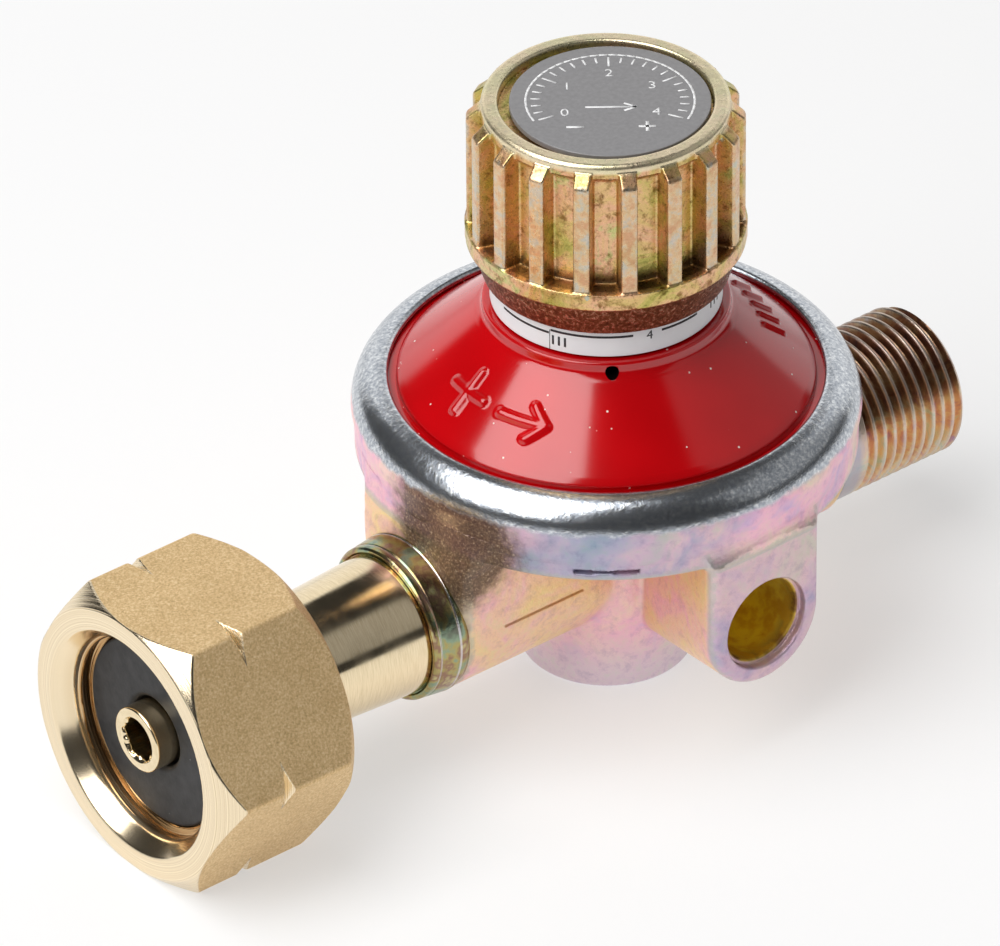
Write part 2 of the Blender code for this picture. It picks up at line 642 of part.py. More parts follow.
def main():
    clear_scene()
    cast_zinc = material("cast_zinc", (0.72, 0.62, 0.62), 0.38, 0.85)
    red_paint = material("red_paint", (0.55, 0.0, 0.005), 0.16, 0.0)
    yellow_zinc = material("yellow_zinc", (0.62, 0.53, 0.27), 0.34, 0.9)
    brass = material("brass", (0.72, 0.55, 0.30), 0.30, 1.0)
    black_rubber = material("black_rubber", (0.035, 0.035, 0.04), 0.6, 0.0)
    band_white = material("band_white", (0.75, 0.76, 0.78), 0.4, 0.0)
    label_grey = material("label_grey", (0.26, 0.255, 0.26), 0.42, 0.3)
    spring_steel = material("spring_steel", (0.45, 0.46, 0.48), 0.35, 1.0)
    pressed_steel = material("pressed_steel", (0.62, 0.62, 0.60), 0.3, 1.0)
    white_plastic = material("white_plastic", (0.78, 0.77, 0.72), 0.45, 0.0)
    sintered_bronze = material("sintered_bronze", (0.42, 0.28, 0.14), 0.7, 0.9)

    body_casting(cast_zinc)
    bonnet(red_paint)
    turned("dial_band", ring(NECK_R + 0.2, BAND_R, BAND_BOTTOM, BAND_TOP), band_white)

    # The knob turns on the neck's thread, so it and its label are children of an empty on that axis
    knob_axis = bpy.data.objects.new("knob_axis", None)
    bpy.context.scene.collection.objects.link(knob_axis)
    knob(yellow_zinc).parent = knob_axis
    label_bottom = KNOB_TOP - KNOB_RECESS_DEPTH + GAP
    label = turned("knob_label", rod(LABEL_R, label_bottom, KNOB_TOP - LABEL_DEPTH), label_grey)
    label.location = (LABEL_OFFSET[0] * MM, LABEL_OFFSET[1] * MM, 0)
    label.parent = knob_axis
    stop_ring = ring(STOP_GROOVE_R + GAP, STOP_RING_R, STOP_RING_Z, STOP_RING_Z + STOP_RING_THICK)
    turned("knob_stop_ring", stop_ring, spring_steel)

    # Adjusting spring between the button and the upper plate, with a washer for the knob to turn on
    washer_top = KNOB_ROOF - GAP
    turned("thrust_washer", ring(1.6, WASHER_R, washer_top - WASHER_THICK, washer_top), white_plastic)
    button_top = washer_top - WASHER_THICK - GAP
    turned("spring_button", spring_button_outline(button_top), pressed_steel)
    upper_plate_z = DIAPHRAGM_Z + DIAPHRAGM_THICK + GAP
    spring_seat = upper_plate_z + PLATE_THICK
    spring_top = button_top - BUTTON_THICK - GAP
    helical_spring(
        "adjusting_spring", SPRING_R, SPRING_WIRE_R, spring_seat + GAP, spring_top, SPRING_COILS, spring_steel
    )

    # Diaphragm between its two plates, held together by a riveted stem
    hole = STEM_R + GAP
    turned("diaphragm", ring(hole, DIAPHRAGM_R, DIAPHRAGM_Z, DIAPHRAGM_Z + DIAPHRAGM_THICK), black_rubber)
    slip_ring = ring(SLIP_RING_R, DIAPHRAGM_R, upper_plate_z, upper_plate_z + SLIP_RING_THICK)
    turned("slip_ring", slip_ring, white_plastic)
    turned("upper_diaphragm_plate", upper_plate_outline(hole, upper_plate_z), pressed_steel)
    lower_plate_top = DIAPHRAGM_Z - GAP
    lower_plate = ring(hole, LOWER_PLATE_R, lower_plate_top - PLATE_THICK, lower_plate_top)
    turned("lower_diaphragm_plate", lower_plate, pressed_steel)
    stem = stem_outline(lower_plate_top - PLATE_THICK - GAP, spring_seat + GAP)
    turned("diaphragm_stem", stem, brass, COARSE)

    # Valve: a brass seat screwed into the boss, with the poppet and its spring below it
    turned("valve_seat", valve_seat_outline(), brass, COARSE)
    seal_centre = (SEAL_GROOVE_R + GAP + SEAL_SECTION_R, SEAL_Z)
    seal_section = arc(seal_centre, (SEAL_SECTION_R, SEAL_SECTION_R), 0, 360, 8)
    turned("valve_seat_o_ring", seal_section[:-1], black_rubber, COARSE)
    turned("poppet", poppet_outline(), brass, COARSE)
    turned("poppet_pad", rod(PAD_R, PAD_BOTTOM, PAD_TOP), black_rubber, COARSE)
    helical_spring(
        "poppet_spring",
        POPPET_SPRING_R,
        POPPET_SPRING_WIRE_R,
        VALVE_BORE_BOTTOM + GAP,
        POPPET_SKIRT - GAP,
        POPPET_SPRING_COILS,
        spring_steel,
        10,
    )

    inlet_nipple(brass)
    seal = ring(TIP_R + GAP, SEAL_R, -NIPPLE_FLANGE_FRONT + GAP, -SEAL_FRONT)
    turned("inlet_seal", seal, black_rubber, along=(-1, 0, 0))
    nut_axis = bpy.data.objects.new("nut_axis", None)
    bpy.context.scene.collection.objects.link(nut_axis)
    nut_axis.location = ((NUT_FRONT + NUT_BACK) / 2 * MM, 0, PORT_Z * MM)
    nut = union_nut(brass)
    nut.parent = nut_axis
    nut.matrix_parent_inverse = Matrix.Translation(-nut_axis.location)
    inlet_filter = rod(FILTER_R, FILTER_BACK, FILTER_FRONT)
    turned("inlet_filter", inlet_filter, sintered_bronze, COARSE, along=(-1, 0, 0))


main()
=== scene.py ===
"""Looks of the gas regulator: fine surfaces, finishes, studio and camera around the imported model.

Every size below is in millimetres in the model's own frame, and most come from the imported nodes' boxes."""

import json
import math

import bmesh
import bpy
import numpy as np
import openvdb
from mathutils import Matrix, Vector


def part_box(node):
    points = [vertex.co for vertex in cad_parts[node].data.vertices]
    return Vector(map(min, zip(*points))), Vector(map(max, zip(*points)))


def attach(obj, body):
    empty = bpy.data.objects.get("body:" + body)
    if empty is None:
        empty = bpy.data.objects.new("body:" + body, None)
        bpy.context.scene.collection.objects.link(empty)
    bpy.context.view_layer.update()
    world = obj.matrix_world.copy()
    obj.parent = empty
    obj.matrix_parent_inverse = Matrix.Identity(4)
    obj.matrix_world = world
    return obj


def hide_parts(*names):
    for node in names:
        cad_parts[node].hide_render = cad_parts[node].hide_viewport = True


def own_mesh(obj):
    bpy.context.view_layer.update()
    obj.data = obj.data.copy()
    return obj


MM = 0.001
TURN = 2 * math.pi

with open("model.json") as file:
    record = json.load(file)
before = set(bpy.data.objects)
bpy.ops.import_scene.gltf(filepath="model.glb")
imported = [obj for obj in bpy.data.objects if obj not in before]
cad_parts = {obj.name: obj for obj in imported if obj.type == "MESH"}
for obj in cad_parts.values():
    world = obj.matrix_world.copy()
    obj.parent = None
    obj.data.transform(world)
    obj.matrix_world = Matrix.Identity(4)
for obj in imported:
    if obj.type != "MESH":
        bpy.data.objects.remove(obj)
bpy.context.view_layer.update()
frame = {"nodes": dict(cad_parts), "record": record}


def box_mm(node):
    low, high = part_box(node)
    return np.array(low) / MM, np.array(high) / MM


def mount_mm(name):
    found = [m for m in frame["record"]["mounts"] if m["name"] == name]
    return np.array(found[0]["pos_m"]) / MM


# Driving sizes, read from the frame
BODY_LOW, BODY_HIGH = box_mm("body_casting")
BONNET_LOW, BONNET_HIGH = box_mm("bonnet")
BAND_LOW, BAND_HIGH = box_mm("dial_band")
KNOB_LOW, KNOB_HIGH = box_mm("knob")
LABEL_LOW, LABEL_HIGH = box_mm("knob_label")
NUT_LOW, NUT_HIGH = box_mm("union_nut")
NIPPLE_LOW, NIPPLE_HIGH = box_mm("inlet_nipple")
SEAL_LOW, SEAL_HIGH = box_mm("inlet_seal")
PORT_Z = mount_mm("inlet_seal_face")[2]
GAUGE_Z = mount_mm("gauge_port_face")[2]
GAUGE_FACE = -mount_mm("gauge_port_face")[1]
DRUM_R = BODY_HIGH[1]
LIP_TOP = BODY_HIGH[2]
STEP_Z = LIP_TOP - 5.9
DRUM_BOTTOM = STEP_Z - 3.0
BAND_R = BAND_HIGH[0]
KNOB_R = KNOB_HIGH[0]
KNOB_TOP = KNOB_HIGH[2]
LUGS = 18
FIRST_LUG = -119.5


# ---------------------------------------------------------------- mesh building

def link(name, mesh, axis=None):
    """An object from a mesh in millimetres. An axis lays down a piece made about +Z, at the ports' height."""
    if axis:
        turn = Vector(axis).to_track_quat("Z", "Y").to_matrix().to_4x4()
        mesh.transform(Matrix.Translation((0, 0, PORT_Z)) @ turn)
    mesh.transform(Matrix.Scale(MM, 4))
    return put(name, mesh)


def put(name, data):
    obj = bpy.data.objects.new(name, data)
    bpy.context.scene.collection.objects.link(obj)
    return obj


def mesh_of(name, points, faces):
    mesh = bpy.data.meshes.new(name)
    mesh.from_pydata([tuple(p) for p in points], [], [tuple(int(i) for i in f) for f in faces])
    mesh.update()
    mesh.shade_smooth()
    return mesh


def soften(outline, radius, steps=4):
    """A closed outline with its corners rounded. A corner given as (r, h, size) has its own size."""
    softened = []
    count = len(outline)
    for i, corner in enumerate(outline):
        here = np.array(corner[:2], float)
        size = corner[2] if len(corner) > 2 else radius
        before = np.array(outline[i - 1][:2], float) - here
        after = np.array(outline[(i + 1) % count][:2], float) - here
        near, far = np.linalg.norm(before), np.linalg.norm(after)
        reach = min(size, 0.45 * near, 0.45 * far)
        if reach < 1e-4 or here[0] < 1e-6:
            softened.append(tuple(here))
            continue
        start, end = here + before / near * reach, here + after / far * reach
        for step in range(steps + 1):
            t = step / steps
            softened.append(tuple((1 - t) ** 2 * start + 2 * t * (1 - t) * here + t**2 * end))
    return softened


def polar(radius, degrees):
    angle = math.radians(degrees)
    return radius * math.cos(angle), radius * math.sin(angle)


def arc(centre, radii, start, end, steps):
    angles = np.radians(np.linspace(start, end, steps + 1))
    return [(centre[0] + radii[0] * math.cos(a), centre[1] + radii[1] * math.sin(a)) for a in angles]


def grid_faces(rows, columns, closed_rows):
    """Quads of a grid that closes round its columns, and round its rows too when asked."""
    faces = []
    for row in range(rows if closed_rows else rows - 1):
        after = (row + 1) % rows
        for column in range(columns):
            right = (column + 1) % columns
            faces.append(
                (
                    row * columns + column,
                    row * columns + right,
                    after * columns + right,
                    after * columns + column,
                ),
            )
    return faces


def spun(name, outline, steps=192, axis=None, shape=None):
    """A turned solid about +Z from a closed outline of (radius, height) points, anticlockwise from the axis.

    shape(radius, angles, height) may return other radii, for a piece that isn't round all over."""
    angles = np.linspace(0, TURN, steps, endpoint=False)
    points = []
    for r, h in outline:
        points.append(ring_points(shape(r, angles, h) if shape else r, h, angles))
    mesh = mesh_of(name, np.concatenate(points), grid_faces(len(outline), steps, True))
    face_out(mesh, join_doubles=True)
    obj = link(name, mesh, axis)
    weigh_normals(obj)
    return obj


def face_out(mesh, join_doubles=False):
    bm = bmesh.new()
    bm.from_mesh(mesh)
    if join_doubles:
        bmesh.ops.remove_doubles(bm, verts=bm.verts, dist=1e-4)
    bmesh.ops.recalc_face_normals(bm, faces=bm.faces)
    bm.to_mesh(mesh)
    bm.free()
    mesh.shade_smooth()


def ring_points(radii, heights, angles):
    """Points round +Z at the given angles. The radii and heights are numbers, or one for each angle."""
    radii, heights = np.broadcast_to(radii, angles.shape), np.broadcast_to(heights, angles.shape)
    return np.stack([radii * np.cos(angles), radii * np.sin(angles), heights], axis=1)


def weigh_normals(obj):
    modifier = obj.modifiers.new("Weighted normals", "WEIGHTED_NORMAL")
    modifier.keep_sharp = True
    modifier.weight = 80


def threaded(name, start, end, pitch, radius_at, closing, axis, around=144, per_pitch=18, hand=1, shift=0.0):
    """A threaded piece: radius_at(height, phase) gives the thread's radius at a phase of the pitch.

    closing lists the (radius, height) rings that lead from the thread's end back to its start."""
    rows = int(math.ceil((end - start) / pitch * per_pitch)) + 1
    turns = np.arange(around) / around
    points = []
    for h in np.linspace(start, end, rows):
        phase = (h / pitch + hand * turns) % 1.0
        points.append(ring_points(radius_at(np.full(around, h), phase), h, turns * TURN))
    points += [ring_points(r, h, turns * TURN) for r, h in closing]
    points = np.concatenate(points)
    points[:, 2] += shift
    mesh = mesh_of(name, points, grid_faces(rows + len(closing), around, True))
    face_out(mesh)
    mesh.set_sharp_from_angle(angle=math.radians(50))
    return link(name, mesh, axis=axis)


# ---------------------------------------------------------------- solids from distance fields

def union(a, b, blend):
    """The nearer of two distance fields, with a fillet of about the given size where they meet."""
    h = np.clip(0.5 + 0.5 * (b - a) / blend, 0, 1)
    return b * (1 - h) + a * h - blend * h * (1 - h)


def remove(a, b, blend=0.3):
    return -union(-a, b, blend)


def meet(a, b, edge):
    """What two fields share, with a rounded edge."""
    u, v = a + edge, b + edge
    return np.minimum(np.maximum(u, v), 0) + np.hypot(np.maximum(u, 0), np.maximum(v, 0)) - edge


def arch(across, up, half_width):
    """Upright sides and a half-round underside about up = 0."""
    return np.where(up > 0, np.abs(across) - half_width, np.hypot(across, up) - half_width)


def solid_of(name, field, low, high, voxel):
    """The zero surface of a distance field, with its points drawn onto the surface and its exact normals."""
    low = np.array(low, float)
    counts = np.ceil((np.array(high) - low) / voxel).astype(int) + 1
    along = [low[i] + voxel * np.arange(counts[i]) for i in range(3)]
    values = np.empty(counts, np.float32)
    for i, x in enumerate(along[0]):
        y, z = np.meshgrid(along[1], along[2], indexing="ij")
        values[i] = field(np.full_like(y, x), y, z)
    grid = openvdb.FloatGrid(background=1.0)
    grid.copyFromArray(np.clip(values, -4 * voxel, 4 * voxel))
    points, quads = grid.convertToQuads(isovalue=0.0)
    points = low + points.astype(float) * voxel
    for _ in range(3):
        value, slope = field_slope(field, points)
        move = slope * (value / np.maximum((slope**2).sum(1), 0.3))[:, None]
        points -= np.clip(move, -0.4 * voxel, 0.4 * voxel)
    _, slope = field_slope(field, points)
    normals = slope / np.linalg.norm(slope, axis=1, keepdims=True)
    first, second, third = (points[quads[:, i]] for i in range(3))
    facing = (np.cross(second - first, third - first) * normals[quads[:, 0]]).sum()
    if facing < 0:
        quads = quads[:, ::-1]
    mesh = mesh_of(name, points, quads)
    mesh.normals_split_custom_set_from_vertices([tuple(n) for n in normals])
    return link(name, mesh)


def field_slope(field, points, reach=0.01):
    x, y, z = points.T
    value = field(x, y, z)
    slope = [
        field(x + reach, y, z) - field(x - reach, y, z),
        field(x, y + reach, z) - field(x, y - reach, z),
        field(x, y, z + reach) - field(x, y, z - reach),
    ]
    return value, np.stack(slope, axis=1) / (2 * reach)


# ---------------------------------------------------------------- body casting

ARM_END = 25.35
ARM_HALF_WIDTH = 8.77
GAUGE_HALF_WIDTH = 7.1
BOSS_R = 9.1
BOSS_DRAFT = 0.1
COLLAR_END = -BODY_LOW[0]
COLLAR_ROOT_R = 8.9
COLLAR_TIP_R = 8.54
CHAMBER_R = 20.5
CHAMBER_FLOOR = DRUM_BOTTOM + 1.6
SOCKET_R = 6.0
OUTLET_BORE_R = 5.6
LEDGE_Z = STEP_Z + 1.6
RECESS_R = 24.4
NECK_BACK_R = 7.72
NECK_FRONT_R = 6.95


def casting_field(x, y, z):
    r = np.hypot(x, y)
    about_port = np.hypot(y, z - PORT_Z)
    about_gauge = np.hypot(x, z - GAUGE_Z)
    drum = meet(r - (DRUM_R - 0.35), DRUM_BOTTOM - z, 0.35)
    arms = meet(arch(y, z - PORT_Z, ARM_HALF_WIDTH), np.abs(x) - ARM_END, 0.5)
    inward = np.clip(GAUGE_FACE + y - 1.5, 0, 15)
    gauge = arch(x, z - GAUGE_Z + 0.42 * inward, GAUGE_HALF_WIDTH - 0.26 * inward) * 0.9
    gauge = meet(gauge, -y - GAUGE_FACE, 0.9)
    gauge = np.maximum(gauge, y)
    boss = meet(r - BOSS_R - BOSS_DRAFT * z, -z, 0.5)
    body = union(arms, boss, 0.5)
    body = union(body, gauge, 0.6)
    body = np.maximum(body, (z - DRUM_BOTTOM - 1.0 + 1.2 * np.maximum(r - DRUM_R + 0.35, -1.0)) * 0.65)
    body = union(body, drum, 0.8)
    neck = meet(about_port - COLLAR_ROOT_R + 0.7, -x - 27.0, 0.3)
    neck = np.maximum(neck, x + 24)
    body = union(body, neck, 0.8)
    body = union(body, collar_fillet(x, y, z, r, about_port), 0.3)
    root = np.maximum(np.maximum(about_port - 8.2, x - 27.0), 20 - x)
    body = union(body, root, 1.0)

    body = remove(body, np.maximum(r - CHAMBER_R, CHAMBER_FLOOR - z))
    body = remove(body, np.maximum(r - 5.65, 3.2 - z))
    body = remove(body, np.maximum(about_port - SOCKET_R, x + 19.2))
    body = remove(body, np.maximum(about_port - 2.6, np.maximum(x, -x - 20)))
    body = remove(body, np.maximum(about_port - OUTLET_BORE_R, 11 - x))
    riser = np.maximum(np.hypot(x - 13.4, y) - 2.0, PORT_Z - z)
    body = remove(body, riser)
    port = meet(about_gauge - 4.7, y + GAUGE_FACE - 9.5, 2.0)
    body = remove(body, port, 0.25)
    mouth = np.maximum(about_gauge - 5.2, y + GAUGE_FACE - 1.0)
    body = remove(body, mouth, 0.35)
    body = casting_marks(body, x, y, z, r)
    return np.maximum(body, z - STEP_Z)


def collar_fillet(x, y, z, r, about_port):
    """The deep concave fillet that runs from the collar up the drum's wall."""
    rise = np.clip((z - PORT_Z - 1.0) / 7.0, 0, 1)
    swept = union(r - DRUM_R + 0.35, about_port - COLLAR_ROOT_R + 0.7, 0.3 + 8.2 * rise)
    width = ARM_HALF_WIDTH - 0.05 + np.clip((z - 23.5) * 0.55, 0, 4.5)
    swept = meet(swept, np.abs(y) - width, 0.8)
    swept = meet(swept, -x - 26.3, 1.2)
    return np.maximum(np.maximum(swept, x + 20), PORT_Z + 1.0 - z)


def casting_marks(body, x, y, z, r):
    """Short shallow slots low on the front of the drum, and the mould's parting line along the arms."""
    azimuth = np.degrees(np.arctan2(y, x))
    for centre, half, tall in ((-134.6, 1.0, 0.3), (-129.5, 2.4, 0.14), (-124.6, 1.3, 0.24)):
        across = np.abs((azimuth - centre + 180) % 360 - 180) * math.radians(1) * DRUM_R - half
        slot = np.maximum(np.maximum(across, np.abs(z - DRUM_BOTTOM - 1.05) - tall), DRUM_R - 1.2 - r)
        body = remove(body, slot, 0.12)
    line = np.maximum(np.abs(z - PORT_Z - 0.5) - 0.05, ARM_HALF_WIDTH - 0.16 - np.abs(y))
    return remove(body, np.maximum(line, np.abs(x + 15.6) - 5.2), 0.1)


def body_casting():
    low = (-28.0, -DRUM_R - 0.5, -0.6)
    high = (28.0, DRUM_R + 0.5, STEP_Z + 0.6)
    return solid_of("casting_body", casting_field, low, high, 0.3)


def casting_lip():
    """The drum's upper wall, the lip rolled over the bonnet, and the ledge and chamber wall inside."""
    inner = DRUM_R - 3.76
    outline = [
        (CHAMBER_R, STEP_Z - 1.2),
        (DRUM_R - 0.4, STEP_Z - 1.2),
        (DRUM_R - 0.33, STEP_Z - 1.1),
        (DRUM_R - 0.33, STEP_Z - 0.2),
        (DRUM_R - 0.29, STEP_Z + 0.4),
        (DRUM_R - 0.20, STEP_Z + 0.9),
        (DRUM_R - 0.08, STEP_Z + 1.4),
    ]
    outline += arc((inner, STEP_Z + 1.9), (3.76, LIP_TOP - STEP_Z - 1.9), 0, 84, 26)
    outline += arc((inner + 0.35, LIP_TOP - 0.45), (0.5, 0.42), 100, 230, 6)
    outline += [(RECESS_R, LIP_TOP - 0.9), (RECESS_R, LEDGE_Z), (CHAMBER_R, LEDGE_Z)]
    return spun("casting_lip", outline, 360)


def inlet_collar():
    """The turned collar that the nipple screws into, with fine rings round its end."""
    end = COLLAR_END
    outline = [
        (SOCKET_R, 22.0),
        (COLLAR_ROOT_R - 0.4, 22.0),
        (COLLAR_ROOT_R - 0.3, ARM_END + 0.05),
        (COLLAR_ROOT_R - 0.04, ARM_END + 0.6),
        (COLLAR_ROOT_R, ARM_END + 1.1),
        (COLLAR_ROOT_R - 0.12, ARM_END + 1.2),
        (COLLAR_ROOT_R - 0.06, ARM_END + 1.5),
        (COLLAR_TIP_R + 0.08, end - 1.1),
        (COLLAR_TIP_R - 0.05, end - 0.95),
        (COLLAR_TIP_R + 0.05, end - 0.8),
        (COLLAR_TIP_R, end - 0.25),
        (COLLAR_TIP_R - 0.25, end),
        (NECK_BACK_R + 0.3, end),
        (NECK_BACK_R + 0.12, end - 0.25),
        (SOCKET_R, end - 0.25),
    ]
    return spun("inlet_collar", soften(outline, 0.08, 3), 256, axis=(-1, 0, 0))


# ---------------------------------------------------------------- outlet thread

OUTLET_END = BODY_HIGH[0]
OUTLET_R = 8.33
OUTLET_PITCH = 25.4 / 19
OUTLET_DEPTH = 0.856
THREAD_START = 22.0


def rounded_thread(phase, crest, root):
    """0 at the crest and 1 at the root of a 55 degree thread with rounded crest and root."""
    from_crest = np.abs(phase - 0.5) * 2
    flank = np.clip((1 - from_crest - crest) / (1 - crest - root), 0, 1)
    return flank * flank * (3 - 2 * flank)


def outlet_thread():
    def radius(h, phase):
        depth = OUTLET_DEPTH * rounded_thread(phase, 0.12, 0.12)
        run_out = np.clip((h - 28.6) / (0.8 * OUTLET_PITCH), 0, 1)
        crest = OUTLET_R - 0.85 * np.clip((h - OUTLET_END + 0.8) / 0.8, 0, 1) ** 1.2
        plain = OUTLET_R - 0.35 * np.exp(-(((h - ARM_END - 0.35) / 0.22) ** 2))
        return np.minimum(np.minimum(OUTLET_R - depth * run_out, crest), plain)

    closing = [
        (OUTLET_BORE_R + 0.5, OUTLET_END), (OUTLET_BORE_R, OUTLET_END - 0.5), (OUTLET_BORE_R, THREAD_START)
    ]
    return threaded("outlet_thread", THREAD_START, OUTLET_END, OUTLET_PITCH, radius, closing, (1, 0, 0))


# ---------------------------------------------------------------- bonnet

CONE_FOOT = (21.7, LIP_TOP + 0.1)
CONE_HEAD = (13.3, LIP_TOP + 7.6)
SHOULDER_R = 12.95
SHOULDER_Z = BAND_LOW[2] - 0.3
VENT_Z = SHOULDER_Z - 1.0
VENT_AZIMUTH = -126.6
VENT_R = 0.68


def stroke_height(along, across, strokes, width, height):
    """How far embossed strokes stand out: each stroke is a run of points on the unrolled cone."""
    near = np.full(along.shape, 1e3)
    for stroke in strokes:
        for (a0, c0), (a1, c1) in zip(stroke, stroke[1:]):
            da, dc = a1 - a0, c1 - c0
            t = np.clip(((along - a0) * da + (across - c0) * dc) / (da * da + dc * dc), 0, 1)
            near = np.minimum(near, np.hypot(along - a0 - t * da, across - c0 - t * dc))
    return height * np.clip(1 - (near / width) ** 2, 0, 1) ** 2


def bonnet_marks(azimuth, slant):
    """Embossed signs on the cone: a plain plus, a straight arrow and a row of ribs."""
    mid = 0.5 * (CONE_FOOT[0] + CONE_HEAD[0])

    def unrolled(centre):
        return np.radians((azimuth - centre + 180) % 360 - 180) * mid

    plus = [[(-2.4, 5.6), (2.4, 5.6)], [(0, 3.2), (0, 8.0)]]
    height = stroke_height(unrolled(176.5), slant, plus, 0.85, 0.42)
    arrow = [[(-2.7, 5.4), (2.6, 5.4)], [(0.9, 7.2), (2.6, 5.4), (0.9, 3.6)]]
    height = np.maximum(height, stroke_height(unrolled(-158.5), slant, arrow, 0.85, 0.42))
    for place, across in ((-13.5, 8.3), (-19.0, 7.5), (-24.5, 6.9), (-30.0, 6.4), (-35.5, 5.9)):
        rib = [[(0.5, across - 1.5), (-0.5, across + 1.3)]]
        height = np.maximum(height, stroke_height(unrolled(place), slant, rib, 0.55, 0.4))
    return height


def bonnet():
    columns = 720
    azimuth = np.linspace(-180, 180, columns, endpoint=False)
    foot, head = np.array(CONE_FOOT), np.array(CONE_HEAD)
    run = np.linalg.norm(head - foot)
    normal = np.array([head[1] - foot[1], foot[0] - head[0]]) / run
    below = [
        (20.8, BONNET_LOW[2]),
        (24.1, BONNET_LOW[2]),
        (24.1, LIP_TOP - 0.95),
        (foot[0] + 0.25, LIP_TOP - 0.95),
        (foot[0] + 0.12, foot[1] - 0.45),
    ]
    below += arc((foot[0] - 0.25, foot[1] - 0.42), (0.4, 0.42), 0, 50, 4)
    cone = [foot + (head - foot) * t for t in np.linspace(0.045, 0.945, 78)]
    shoulder_start = foot + (head - foot) * 0.95
    corner = np.array([SHOULDER_R, head[1] + 0.15])
    above = []
    for step in range(9):
        t = step / 8
        above.append(
            (1 - t) ** 2 * shoulder_start + 2 * t * (1 - t) * corner + t ** 2 * np.array(
                [SHOULDER_R, head[1] + 0.7]
            ),
        )
    above += [(SHOULDER_R, SHOULDER_Z - 0.3)]
    above += arc((SHOULDER_R - 0.3, SHOULDER_Z - 0.3), (0.3, 0.3), 10, 90, 5)
    neck_top = BONNET_HIGH[2]
    above += [
        (11.6, SHOULDER_Z), (11.6, BAND_HIGH[2] + 0.9), (10.6, BAND_HIGH[2] + 0.9), (10.6, neck_top - 0.3)
    ]
    above += [
        (10.3, neck_top),
        (9.2, neck_top),
        (9.2, head[1] - 0.5),
        (12.2, head[1] - 1.9),
        (19.6, foot[1] - 1.3),
    ]
    rows = list(below)
    for point in cone:
        raised = bonnet_marks(azimuth, np.full(columns, np.linalg.norm(point - foot)))
        rows.append((point[0] + normal[0] * raised, point[1] + normal[1] * raised))
    rows += above
    points = [ring_points(r, h, np.radians(azimuth)) for r, h in rows]
    mesh = mesh_of("bonnet_shell", np.concatenate(points), grid_faces(len(rows), columns, True))
    face_out(mesh)
    mesh.set_sharp_from_angle(angle=math.radians(60))
    obj = link("bonnet_shell", mesh)
    vent = spun("vent_cutter", [(0, 9.6), (VENT_R, 9.6), (VENT_R, 14.5), (0, 14.5)], 32)
    vent.rotation_euler = Vector((*polar(1, VENT_AZIMUTH), 0)).to_track_quat("Z", "Y").to_euler()
    vent.location.z = VENT_Z * MM
    vent.hide_render = True
    cut = obj.modifiers.new("Vent", "BOOLEAN")
    cut.operation = "DIFFERENCE"
    cut.object = vent
    obj.data = evaluated_mesh(obj)
    obj.modifiers.clear()
    bpy.data.objects.remove(vent, do_unlink=True)
    return obj


def evaluated_mesh(obj):
    bpy.context.view_layer.update()
    graph = bpy.context.evaluated_depsgraph_get()
    return bpy.data.meshes.new_from_object(obj.evaluated_get(graph), depsgraph=graph)


# ---------------------------------------------------------------- dial band and printed marks

def lettering(name, words, size):
    """Flat digits as a mesh in millimetres, centred on the origin."""
    curve = bpy.data.curves.new(name, "FONT")
    curve.body = words
    curve.size = size
    curve.align_x = "CENTER"
    curve.align_y = "CENTER"
    curve.resolution_u = 6
    obj = put(name, curve)
    mesh = evaluated_mesh(obj)
    bpy.data.objects.remove(obj, do_unlink=True)
    return mesh


class Print:
    """Flat printed shapes gathered in one mesh, in millimetres on a plane."""

    def __init__(self):
        self.points = []
        self.faces = []

    def add(self, points, faces):
        first = len(self.points)
        self.points += [tuple(p) for p in points]
        self.faces += [tuple(first + i for i in face) for face in faces]

    def bar(self, start, end, width, steps=1):
        start, end = np.array(start, float), np.array(end, float)
        side = np.array([start[1] - end[1], end[0] - start[0]])
        side = side / np.linalg.norm(side) * width / 2
        points = []
        for step in range(steps + 1):
            middle = start + (end - start) * step / steps
            points += [(*(middle - side), 0), (*(middle + side), 0)]
        self.add(points, [(2 * step, 2 * step + 2, 2 * step + 3, 2 * step + 1) for step in range(steps)])

    def digits(self, words, size, place, angle=0.0):
        mesh = lettering("digits", words, size)
        turn = Matrix.Rotation(math.radians(angle), 3, "Z")
        points = [turn @ v.co + Vector((*place, 0)) for v in mesh.vertices]
        self.add(points, [tuple(p.vertices) for p in mesh.polygons])
        bpy.data.meshes.remove(mesh)

    def mesh(self, name, thick):
        """The shapes as a thin solid print."""
        flat = mesh_of(name, self.points, self.faces)
        bm = bmesh.new()
        bm.from_mesh(flat)
        bmesh.ops.remove_doubles(bm, verts=bm.verts, dist=1e-4)
        bmesh.ops.recalc_face_normals(bm, faces=bm.faces)
        down = [face for face in bm.faces if face.normal.z < 0]
        bmesh.ops.reverse_faces(bm, faces=down)
        grown = bmesh.ops.extrude_face_region(bm, geom=bm.faces[:])
        moved = [item for item in grown["geom"] if isinstance(item, bmesh.types.BMVert)]
        bmesh.ops.translate(bm, verts=moved, vec=(0, 0, thick))
        bmesh.ops.recalc_face_normals(bm, faces=bm.faces)
        bm.to_mesh(flat)
        bm.free()
        return flat


def wrap(mesh, radius, middle_azimuth, middle_z):
    """A flat print bent round a cylinder about +Z, its own +X running round and its +Y up."""
    for v in mesh.vertices:
        angle = math.radians(middle_azimuth) + v.co.x / radius
        r = radius + v.co.z
        v.co = (r * math.cos(angle), r * math.sin(angle), middle_z + v.co.y)
    mesh.update()
    return mesh


